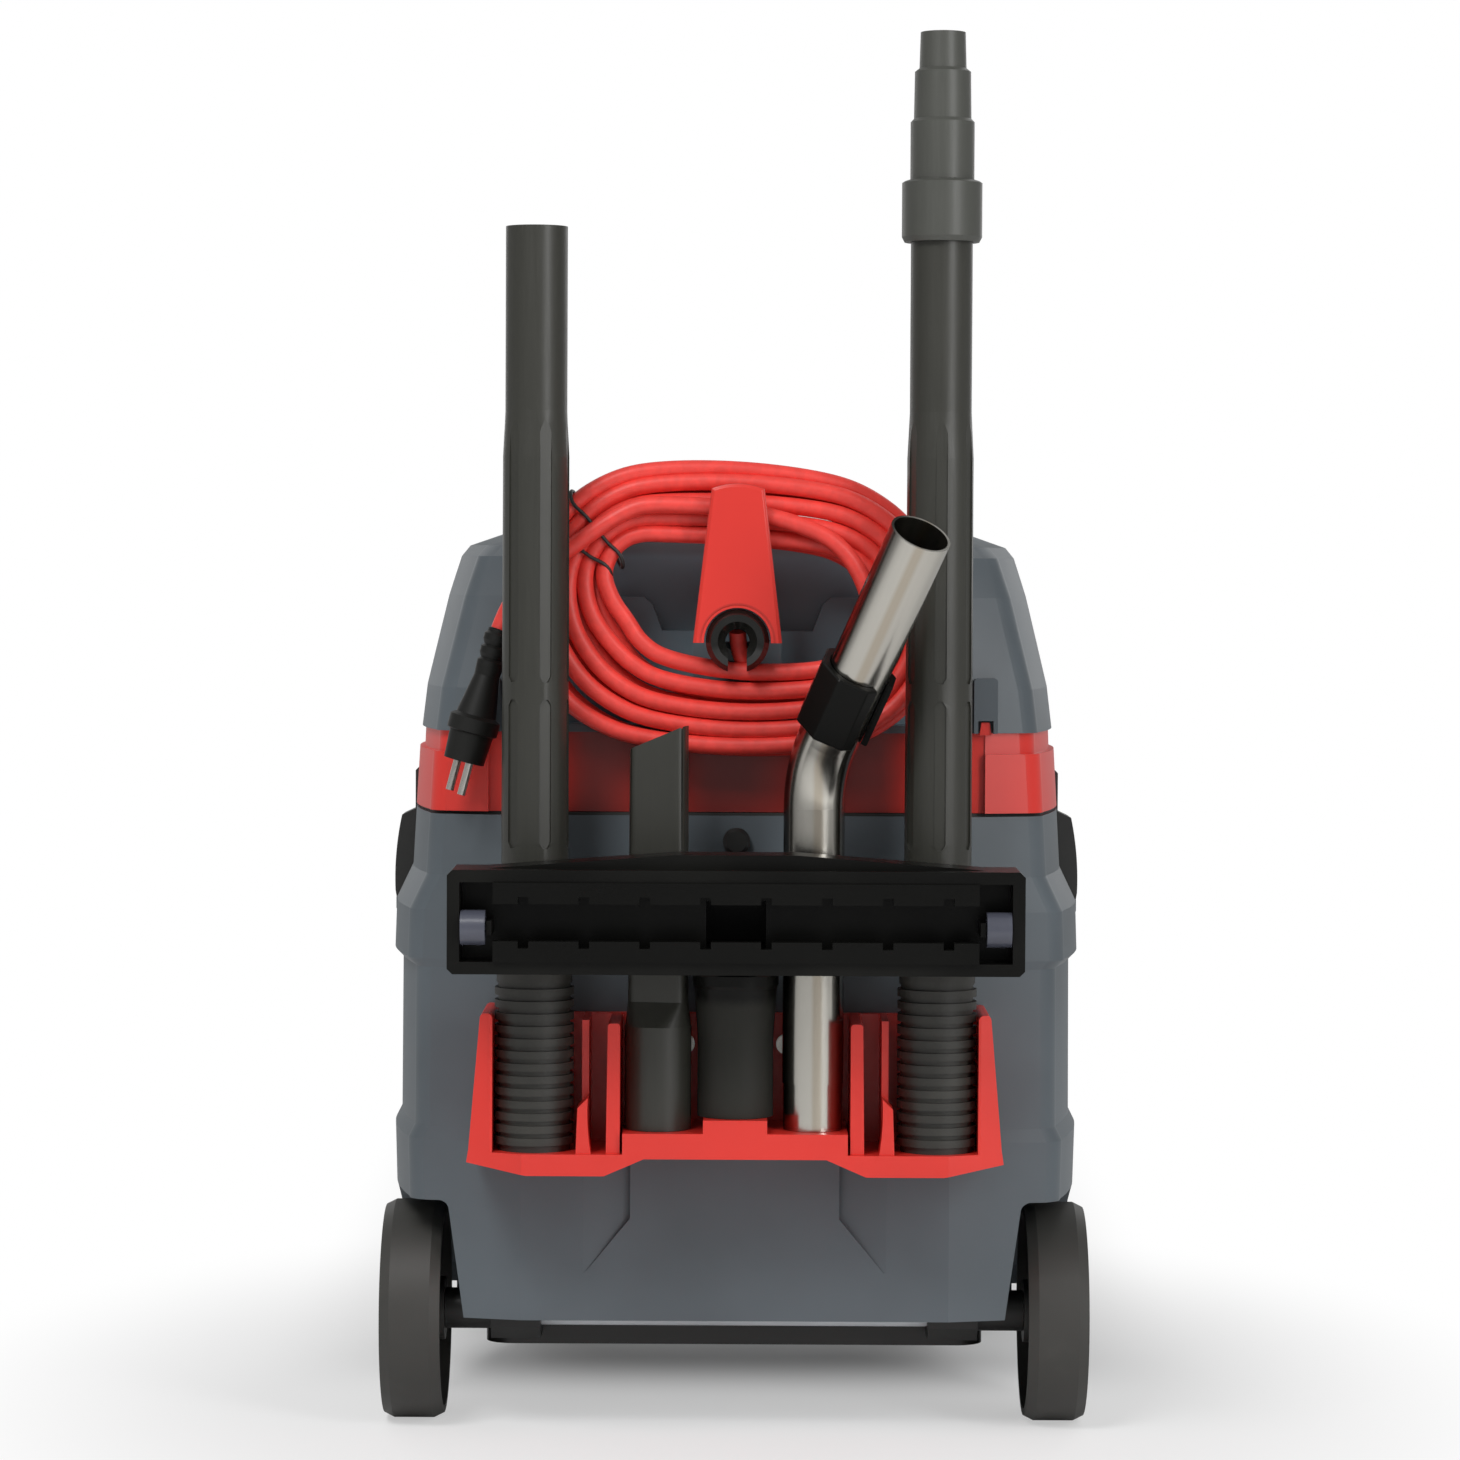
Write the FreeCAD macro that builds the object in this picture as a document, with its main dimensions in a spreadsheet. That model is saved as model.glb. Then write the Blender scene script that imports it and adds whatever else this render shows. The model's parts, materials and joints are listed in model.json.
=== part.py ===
import FreeCAD, Part
import math
import os
import re

import Sketcher

# Shop vacuum: a wheeled tank with a lift-off motor head, the power cord wound on a hook
# at the back of the head, and the floor tools parked in a holder on the back of the tank.
# Millimetres.  +Z is up, the back of the machine faces -Y, the origin is on the floor
# below the middle of the machine.  Left and right are those of a person looking at the
# back, so the right side is +X.

SIZES = {
    # tank, seen in plan: a flat rear panel, slanted rear corners, bowed sides and front
    "rear_face": -148.0,
    "tank_depth": 400.0,
    "tank_floor": 70.0,
    "tank_top": 372.0,
    "tank_wall": 4.0,
    "rear_panel": 127.0,
    "corner_cut": 12.0,
    "corner_reach": 10.0,
    "side_start": 28.0,
    "side_bow": 26.0,
    "front_taper": 26.0,
    "front_corner": 74.0,
    "nose_inset": 58.0,
    "nose_bow": 12.0,
    "tank_bottom_half": 184.0,
    "arch_height": 140.0,
    "skirt_half": 195.5,
    "skirt_top": 176.0,
    "waist_height": 184.0,
    "waist_half": 191.5,
    "ledge_under": 279.0,
    "ledge_under_half": 191.0,
    "ledge_top": 284.0,
    "ledge_half": 196.0,
    "shoulder_low": 313.0,
    "shoulder_low_half": 195.0,
    "shoulder_high": 334.0,
    "shoulder_high_half": 185.0,
    "rim_half": 183.0,
    "rim_recess": 6.0,
    "rim_recess_half": 127.0,
    "rim_recess_low": 322.0,
    "rear_button_radius": 8.0,
    "rear_button_height": 355.0,
    # wheel arches
    "arch_wall_half": 161.0,
    "arch_wall_high": 170.0,
    "arch_fillet": 6.0,
    "arch_front": 150.0,
    "arch_round": 58.0,
    # wedge cut into the rear face on each side, between the holder and a slanted foot
    "wedge_inner": 62.0,
    "wedge_outer": 90.0,
    "wedge_deep": 4.5,
    "wedge_high": 131.0,
    "wedge_low": 97.0,
    "wedge_tip": 0.06,
    # rear axle and wheels
    "wheel_radius": 66.0,
    "wheel_width": 36.0,
    "wheel_inner_face": 175.5,
    "axle_set_in": 70.0,
    "axle_radius": 10.0,
    "running_gap": 0.05,
    "hub_radius": 19.0,
    "tread_depth": 7.0,
    "wheel_rib_count": 6.0,
    "axle_cap_radius": 15.0,
    "axle_cap_depth": 5.0,
    "bracket_inner": 117.0,
    "bracket_outer": 147.0,
    "bracket_low": 50.0,
    "spacer_radius": 12.3,
    # chassis and front casters
    "chassis_low": 42.0,
    "chassis_half": 152.0,
    "chassis_rail": 18.0,
    "chassis_rear": 84.0,
    "chassis_set_back": 48.0,
    "outrigger_low": 64.0,
    "outrigger_high": 86.0,
    "outrigger_width": 44.0,
    "caster_spacing": 304.0,
    "caster_radius": 27.0,
    "caster_width": 20.0,
    "caster_trail": 14.0,
    "caster_stem_radius": 5.0,
    "caster_pin_radius": 3.0,
    "fork_wall": 3.5,
    "fork_gap": 1.0,
    "corner_bow": 3.0,
    "front_corner_bow": 16.0,
    "floor_rise": 14.0,
    "tunnel_half": 12.8,
    "tunnel_top": 78.5,
    "bracket_reach": 22.0,
    "wheel_side_gap": 0.3,
    "wheel_shoulder": 6.0,
    "wheel_web": 20.0,
    "wheel_skin": 4.0,
    "wheel_rib_foot": 8.0,
    "hub_set_in": 2.0,
    "fork_plate_radius": 17.0,
    "fork_top": 61.0,
    # latches
    "latch_set_in": 180.0,
    "latch_width": 34.0,
    "latch_lug": 5.0,
    "latch_pivot_height": 306.0,
    "latch_pivot_out": 206.5,
    "latch_pin_radius": 2.5,
    "latch_bay_half": 196.5,
    "latch_flare": 7.0,
    "latch_blade_top": 361.0,
    "catch_top": 384.0,
    "catch_out": 197.5,
    "catch_bite": 4.5,
    "catch_thick": 3.5,
    "catch_slot": 11.0,
    # tool holder
    "holder_low": 166.0,
    "holder_foot_drop": 10.0,
    "holder_foot_inner": 52.7,
    "holder_foot_middle": 75.7,
    "holder_foot_outer": 120.5,
    "holder_half": 155.7,
    "holder_floor": 178.5,
    "holder_depth": 75.0,
    "holder_arm_half": 147.6,
    "holder_arm_top": 259.0,
    "holder_wall_half": 73.6,
    "holder_wall": 7.0,
    "holder_wall_top": 254.0,
    "holder_rib_half": 89.0,
    "holder_rib": 4.0,
    "holder_fin_half": 91.0,
    "holder_fin_top": 211.0,
    "holder_crease": 123.0,
    "holder_slant": 16.0,
    "holder_back": 6.0,
    "holder_screw_spacing": 60.0,
    "holder_screw_height": 236.0,
    "screw_radius": 3.0,
    "tool_row_set_off": 48.0,
    "tool_floor_rise": 12.2,
    "neck_floor_rise": 20.0,
    "tool_spacing": 90.0,
    "tool_bay": 20.0,
    "neck_bay": 18.5,
    "tube_spacing": 234.0,
    "sleeve_bay": 23.5,
    "peg_gap": 0.4,
    "peg_height": 24.0,
    "seat_gap": 0.3,
    # sleeves
    "sleeve_radius": 23.0,
    "sleeve_floor": 3.0,
    "sleeve_gap": 0.3,
    "sleeve_foot": 4.0,
    "sleeve_pitch": 7.2,
    "sleeve_rib_depth": 2.0,
    "sleeve_rib_high": 4.4,
    "sleeve_height": 120.5,
    # head
    "seal_height": 2.0,
    "lid_gap": 0.3,
    "ring_top": 419.5,
    "ring_band_top": 407.0,
    "ring_wall": 12.0,
    "ring_recess": 10.0,
    "ring_recess_half": 147.0,
    "ring_lip": 4.0,
    "ring_lip_width": 5.0,
    "deck_thick": 4.0,
    "inlet_radius": 34.0,
    "snap_middle": 147.0,
    "snap_half": 3.5,
    "snap_top": 426.0,
    "snap_set_in": 4.0,
    "snap_depth": 5.0,
    "snap_block_half": 7.0,
    "snap_block_top": 452.0,
    "snap_block_proud": 3.0,
    "hood_low_half": 179.5,
    "hood_break": 445.0,
    "hood_break_half": 176.5,
    "hood_shoulder": 499.5,
    "hood_shoulder_half": 163.5,
    "hood_brow": 523.0,
    "hood_brow_half": 156.0,
    "hood_edge": 529.5,
    "hood_top": 536.5,
    "hood_wall": 3.5,
    "bay_half": 135.0,
    "bay_depth": 50.0,
    "bay_floor": 424.0,
    "shelf_depth": 34.0,
    "shelf_high": 499.0,
    "shelf_low": 479.0,
    "shelf_dip_half": 51.0,
    "column_set_in": 2.0,
    # cord and its hook
    "hook_reach": 27.5,
    "hook_thick": 6.0,
    "hook_foot": 473.0,
    "hook_foot_half": 26.0,
    "hook_head": 563.0,
    "hook_head_half": 15.5,
    "hook_boss_low": 495.5,
    "hook_boss_top": 525.3,
    "hook_boss_slope": 8.0,
    "hook_boss_half": 20.0,
    "grommet_radius": 18.5,
    "grommet_height": 474.0,
    "cord_radius": 5.0,
    "coil_half_width": 128.5,
    "coil_half_height": 88.0,
    "coil_tight": 66.0,
    "coil_inner_tight": 27.0,
    "coil_band": 53.0,
    "coil_thick": 26.0,
    "coil_round": 9.0,
    "coil_height": 491.0,
    "tie_thick": 1.6,
    "tie_slack": 3.0,
    "tie_width": 3.0,
    "plug_x": -139.5,
    "plug_y": -166.0,
    "plug_z": 480.0,
    "plug_tilt": 15.0,
    "plug_turn": 65.0,
    "plug_radius": 14.0,
    "plug_relief_length": 28.0,
    "plug_pin_spacing": 19.0,
    "plug_pin_radius": 2.4,
    "plug_pin_length": 19.0,
    # inside
    "motor_set_in": 215.0,
    "motor_radius": 48.0,
    "motor_height": 84.0,
    "shaft_radius": 4.0,
    "shaft_gap": 0.1,
    "fan_radius": 62.0,
    "fan_wall": 2.5,
    "fan_height": 34.0,
    "fan_gap": 1.5,
    "impeller_height": 20.0,
    "blade_count": 9.0,
    "cage_radius": 40.0,
    "cage_wall": 4.0,
    "cage_length": 116.0,
    "filter_length": 110.0,
    "filter_radius": 62.0,
    "pleat_root": 47.0,
    "pleat_width": 7.0,
    "pleat_count": 36.0,
    # controls, handle, hose port
    "knob_spacing": 150.0,
    "knob_height": 470.0,
    "knob_proud": 8.0,
    "knob_stem": 6.0,
    "knob_lift": 0.5,
    "switch_radius": 21.0,
    "knob_radius": 15.0,
    "outlet_half": 27.0,
    "outlet_height": 462.0,
    "outlet_bore": 20.0,
    "boss_depth": 30.0,
    "lid_half": 18.0,
    "lid_barrel": 2.5,
    "lid_pin": 1.5,
    "grip_set_in": 200.0,
    "grip_half": 70.0,
    "grip_width": 70.0,
    "grip_deep": 34.0,
    "grip_rise": 6.0,
    "grip_thick": 14.0,
    "grip_bar": 28.0,
    "inlet_bore": 29.0,
    "inlet_depth": 22.0,
    "inlet_flange": 42.0,
    "inlet_lip": 14.0,
    "inlet_proud": 3.0,
    "inlet_height": 240.0,
    # parked tools
    "tube_end_radius": 19.8,
    "tube_top_radius": 17.9,
    "tube_wall": 1.9,
    "tube_length": 531.5,
    "groove_width": 7.0,
    "groove_depth": 1.0,
    "groove_low": 172.5,
    "groove_middle": 263.5,
    "groove_high": 434.5,
    "left_tube_turn": 80.0,
    "right_tube_turn": 120.0,
    "adaptor_gap": 0.3,
    "adaptor_radius": 23.2,
    "adaptor_step_3": 18.5,
    "adaptor_step_2": 16.2,
    "adaptor_step_1": 13.0,
    "adaptor_height": 120.7,
    "adaptor_grip": 8.0,
    "crevice_radius": 19.3,
    "crevice_bore": 17.6,
    "crevice_wall": 1.6,
    "crevice_shoulder": 60.0,
    "crevice_across": 17.0,
    "crevice_deep": 9.0,
    "crevice_bend": 5.0,
    "crevice_length": 235.3,
    "crevice_slant": 16.0,
    "crevice_turn": -12.0,
    "mouth_half": 163.0,
    "mouth_corner": 3.0,
    "mouth_low": 88.5,
    "mouth_height": 59.0,
    "mouth_arch": 8.0,
    "mouth_hump_half": 35.0,
    "mouth_frame": 14.0,
    "mouth_reach": 82.0,
    "mouth_deep": 46.0,
    "mouth_rim": 7.0,
    "mouth_hollow": 30.0,
    "duct_half": 20.0,
    "neck_radius": 22.0,
    "neck_cone_low": 46.5,
    "neck_cone_radius": 24.0,
    "neck_flange_radius": 25.0,
    "nozzle_wall": 3.0,
    "roller_radius": 10.0,
    "roller_width": 14.0,
    "roller_gap": 0.5,
    "roller_pin": 2.0,
    "roller_set_in": 6.0,
    "roller_height": 114.5,
    "lip_height": 12.0,
    "lip_proud": 3.0,
    "hand_tube_radius": 17.75,
    "hand_tube_wall": 1.5,
    "hand_tube_knee": 209.0,
    "hand_tube_bend": 70.0,
    "hand_tube_length": 168.0,
    "hand_tube_lean": 35.6,
    "hand_tube_turn": -53.7,
    "hand_tube_swage": 27.0,
    "slider_gap": 0.3,
    "slider_radius": 23.5,
    "slider_length": 43.0,
    "slider_place": 30.0,
    "slider_wrap": 300.0,
    "slider_turn": 150.0,
}

doc = FreeCAD.newDocument("shop_vacuum")
sheet = doc.addObject("Spreadsheet::Sheet", "Sizes")
for row, (alias, number) in enumerate(SIZES.items(), start=1):
    sheet.set(f"A{row}", alias.replace("_", " "))
    sheet.set(f"B{row}", str(number))
    sheet.setAlias(f"B{row}", alias)
doc.recompute()

WORD = re.compile(r"[A-Za-z_][A-Za-z0-9_]*")
UP = FreeCAD.Vector(0, 0, 1)


PLACES = {
    "axle_y": "rear_face+axle_set_in",
    "axle_half": "wheel_inner_face+wheel_width-hub_set_in+wheel_side_gap",
    "caster_y": "rear_face+tank_depth",
    "chassis_front": "rear_face+tank_depth-chassis_set_back",
    "latch_middle": "rear_face+latch_set_in",
    "tool_row": "rear_face-tool_row_set_off",
    "tool_floor": "holder_floor+tool_floor_rise",
    "neck_floor": "holder_floor+neck_floor_rise",
    "deck_low": "tank_top+ring_lip",
    "motor_y": "rear_face+motor_set_in",
    "grip_y": "rear_face+grip_set_in",
    "knob_face": "rear_face+tank_depth+knob_proud",
    "inlet_face": "rear_face+tank_depth+nose_bow+inlet_proud",
    "coil_y": "rear_face-coil_thick/2",
    "tube_foot": "holder_floor+sleeve_floor+seat_gap",
}


def cells(formula):
    """A formula whose size names point at the sheet's cells."""
    def cell(word):
        name = word[0]
        if name in PLACES:
            return f"({cells(PLACES[name])})"
        return "Sizes." + name if name in SIZES else name
    return WORD.sub(cell, str(formula))


def value(formula):
    """What a formula comes to with the sizes as they are."""
    return float(sheet.evalExpression(cells(formula)))


def bind(thing, prop, formula):
    thing.setExpression(prop, cells(formula))


def new_body(name):
    body = doc.addObject("PartDesign::Body", name)
    body.Label = name
    return body


def place(body, x=0, y=0, z=0, axis=UP, angle=0):
    """Stand a body at x, y, z, turned about an axis through that point."""
    body.Placement = FreeCAD.Placement(FreeCAD.Vector(), FreeCAD.Rotation(axis, 1.0))
    for prop, formula in (("x", x), ("y", y), ("z", z)):
        bind(body, "Placement.Base." + prop, formula)
    bind(body, "Placement.Rotation.Angle", angle)
    return body


class Outline:
    """A sketch on one of a body's origin planes, with every corner tied to formulas."""

    def __init__(self, body, plane, offset=0):
        self.sketch = body.newObject("Sketcher::SketchObject", body.Label + "_outline")
        origin = [f for f in body.Origin.OriginFeatures if f.Role == plane + "_Plane"][0]
        self.sketch.AttachmentSupport = (origin, [""])
        self.sketch.MapMode = "FlatFace"
        bind(self.sketch, "AttachmentOffset.Base.z", offset)

    def rule(self, kind, *ends, formula=None):
        sketch = self.sketch
        if formula is None:
            return sketch.addConstraint(Sketcher.Constraint(kind, *ends))
        rule = sketch.addConstraint(Sketcher.Constraint(kind, *ends, value(formula)))
        bind(sketch, f"Constraints[{rule}]", formula)
        return rule

    def pin_point(self, item, end, corner):
        self.rule("DistanceX", -1, 1, item, end, formula=corner[0])
        self.rule("DistanceY", -1, 1, item, end, formula=corner[1])

    def circle(self, across, up, radius):
        centre = FreeCAD.Vector(value(across), value(up), 0)
        item = self.sketch.addGeometry(Part.Circle(centre, UP, value(radius)))
        self.pin_point(item, 3, (across, up))
        self.rule("Radius", item, formula=radius)
        return self

    def bowed_side(self, a, b, p, q, bow):
        """An arc from p to q that stands a bow's height out to its right."""
        rise = value(bow)
        chord = q - p
        half = chord.Length / 2
        radius = (half * half + rise * rise) / (2 * abs(rise))
        right = FreeCAD.Vector(chord.y, -chord.x, 0).normalize()
        centre = (p + q) * 0.5 + right * (rise - math.copysign(radius, rise))
        turn = [math.atan2((e - centre).y, (e - centre).x) for e in (p, q)]
        if rise < 0:
            turn.reverse()
        if turn[1] < turn[0]:
            turn[1] += 2 * math.pi
        ring = Part.Circle(centre, UP, radius)
        item = self.sketch.addGeometry(Part.ArcOfCircle(ring, *turn))
        square = f"((({b[0]})-({a[0]}))^2+(({b[1]})-({a[1]}))^2)/4"
        self.rule("Radius", item, formula=f"({square}+({bow})^2)/(2*abs({bow}))")
        return (item, 1, 2) if rise > 0 else (item, 2, 1)

    def rounded_corner(self, before, here, after, radius):
        """The arc and its two touching points that round a corner of straight sides."""
        r = value(radius)
        back = (before - here).normalize()
        on = (after - here).normalize()
        half = back.getAngle(on) / 2
        reach = r / math.tan(half)
        start = here + back * reach
        stop = here + on * reach
        centre = here + (back + on).normalize() * (r / math.sin(half))
        turn = [math.atan2((e - centre).y, (e - centre).x) for e in (start, stop)]
        left = back.cross(on).z < 0
        if not left:
            turn.reverse()
        if turn[1] < turn[0]:
            turn[1] += 2 * math.pi
        item = self.sketch.addGeometry(Part.ArcOfCircle(Part.Circle(centre, UP, r), *turn))
        self.rule("Radius", item, formula=radius)
        return start, stop, ((item, 1, 2) if left else (item, 2, 1))

    def loop(self, corners):
        """A closed outline, anticlockwise.  A corner is (across, up) and may go on with
        ("bow", height) for a side that leaves it as an arc, or ("round", radius)."""
        count = len(corners)
        spots = [FreeCAD.Vector(value(c[0]), value(c[1]), 0) for c in corners]
        starts = list(spots)
        stops = list(spots)
        arcs = {}
        for i, corner in enumerate(corners):
            if len(corner) == 3 and corner[2][0] == "round":
                near = spots[i - 1], spots[i], spots[(i + 1) % count]
                stops[i], starts[i], arcs[i] = self.rounded_corner(*near, corner[2][1])
        sides = []
        for i, corner in enumerate(corners):
            j = (i + 1) % count
            if len(corner) == 3 and corner[2][0] == "bow":
                side = self.bowed_side(corner, corners[j], spots[i], spots[j], corner[2][1])
            else:
                line = self.sketch.addGeometry(Part.LineSegment(starts[i], stops[j]))
                side = (line, 1, 2)
            sides.append(side)
        for i, corner in enumerate(corners):
            into, out = sides[i - 1], sides[i]
            if i in arcs:
                arc = arcs[i]
                mark = self.sketch.addGeometry(Part.Point(spots[i]), True)
                self.pin_point(mark, 1, corner)
                self.rule("PointOnObject", mark, 1, into[0])
                self.rule("PointOnObject", mark, 1, out[0])
                self.rule("Tangent", into[0], into[2], arc[0], arc[1])
                self.rule("Tangent", arc[0], arc[2], out[0], out[1])
            else:
                self.rule("Coincident", into[0], into[2], out[0], out[1])
                self.pin_point(out[0], out[1], corner)
        return self


    def chain(self, corners):
        """An open path of straight sides and arcs."""
        spots = [FreeCAD.Vector(value(c[0]), value(c[1]), 0) for c in corners]
        sides = []
        for i in range(len(corners) - 1):
            a, b = corners[i], corners[i + 1]
            if len(a) == 3:
                sides.append(self.bowed_side(a, b, spots[i], spots[i + 1], a[2][1]))
            else:
                line = self.sketch.addGeometry(Part.LineSegment(spots[i], spots[i + 1]))
                sides.append((line, 1, 2))
        for i, (item, first, last) in enumerate(sides):
            self.pin_point(item, first, corners[i])
            if i:
                before = sides[i - 1]
                self.rule("Coincident", before[0], before[2], item, first)
        self.pin_point(sides[-1][0], sides[-1][2], corners[-1])
        return self


def sketch(body, plane, *loops, offset=0):
    """A sketch of closed loops; a loop is a list of corners or ("circle", x, y, radius)."""
    outline = Outline(body, plane, offset)
    for loop in loops:
        if loop[0] == "circle":
            outline.circle(*loop[1:])
        else:
            outline.loop(loop)
    return outline.sketch


def feature(body, kind, profile, **settings):
    """A PartDesign feature on a profile; text settings are bound as formulas."""
    item = body.newObject("PartDesign::" + kind, f"{body.Label}_{kind.lower()}")
    item.Profile = profile
    for prop, setting in settings.items():
        if isinstance(setting, str):
            bind(item, prop, setting)
        else:
            setattr(item, prop, setting)
    return item


def pad(body, profile, length, **settings):
    return feature(body, "Pad", profile, Length=str(length), **settings)


def pocket(body, profile, length, **settings):
    return feature(body, "Pocket", profile, Length=str(length), **settings)


def turned(body, corners, offset=0, kind="Revolution", angle=360):
    """A profile of (radius, height) corners turned about the body's own Z axis."""
    profile = sketch(body, "XZ", corners, offset=offset)
    item = feature(body, kind, profile, Angle=str(angle))
    item.ReferenceAxis = (profile, ["V_Axis"])
    return item


def loft(body, sections, kind="AdditiveLoft", ruled=True):
    item = body.newObject("PartDesign::" + kind, f"{body.Label}_{kind.lower()}")
    item.Profile = sections[0]
    item.Sections = sections[1:]
    item.Ruled = ruled
    return item


def around(body, items, count, axis="Z_Axis"):
    """Copies of features round one of the body's own axes."""
    ring = body.newObject("PartDesign::PolarPattern", body.Label + "_ring")
    ring.Originals = items
    line = [f for f in body.Origin.OriginFeatures if f.Role == axis][0]
    ring.Axis = (line, [""])
    ring.Angle = 360
    bind(ring, "Occurrences", count)
    body.Tip = ring
    return ring


def mirrored(body, items, plane="YZ_Plane"):
    twin = body.newObject("PartDesign::Mirrored", body.Label + "_mirrored")
    twin.Originals = items
    origin = [f for f in body.Origin.OriginFeatures if f.Role == plane][0]
    twin.MirrorPlane = (origin, [""])
    body.Tip = twin
    return twin


def dress(body, kind, size, pick):
    """Fillet or chamfer the edges that pick accepts."""
    base = body.Tip
    doc.recompute()
    names = [f"Edge{i}" for i, e in enumerate(base.Shape.Edges, start=1) if pick(e)]
    item = body.newObject("PartDesign::" + kind, f"{body.Label}_{kind.lower()}")
    item.Base = (base, names)
    bind(item, "Radius" if kind == "Fillet" else "Size", size)
    return item


def box(left, right, low, high):
    """The four corners of an upright rectangle."""
    return [(left, low), (right, low), (right, high), (left, high)]


def both_sides(half):
    """An outline that is the same on both sides, from its right half, bottom to top."""
    flip = []
    for i in reversed(range(len(half))):
        extra = half[i][2:]
        before = half[i - 1][2:] if i else ()
        if not (extra and extra[0][0] == "round"):
            extra = before if before and before[0][0] == "bow" else ()
        flip.append((f"-({half[i][0]})", half[i][1]) + tuple(extra))
    return list(half) + flip


def plan(body, level, half, back="0", front="tank_depth"):
    """The tank's or head's outline in plan at a height: half its width at the rear
    corners, and how far its back and front stand from the tank's rear face."""
    rear = f"rear_face+{back}"
    nose = f"rear_face+{front}"
    right = [
        ("rear_panel", rear),
        (f"{half}-corner_reach", f"{rear}+corner_cut", ("bow", "corner_bow")),
        (half, f"{rear}+side_start", ("bow", "side_bow")),
        (f"{half}-front_taper", f"{nose}-front_corner", ("bow", "front_corner_bow")),
        (f"{half}-front_taper-nose_inset", nose, ("bow", "nose_bow")),
    ]
    return sketch(body, "XY", both_sides(right), offset=level)


# ---------------------------------------------------------------- tank


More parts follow.
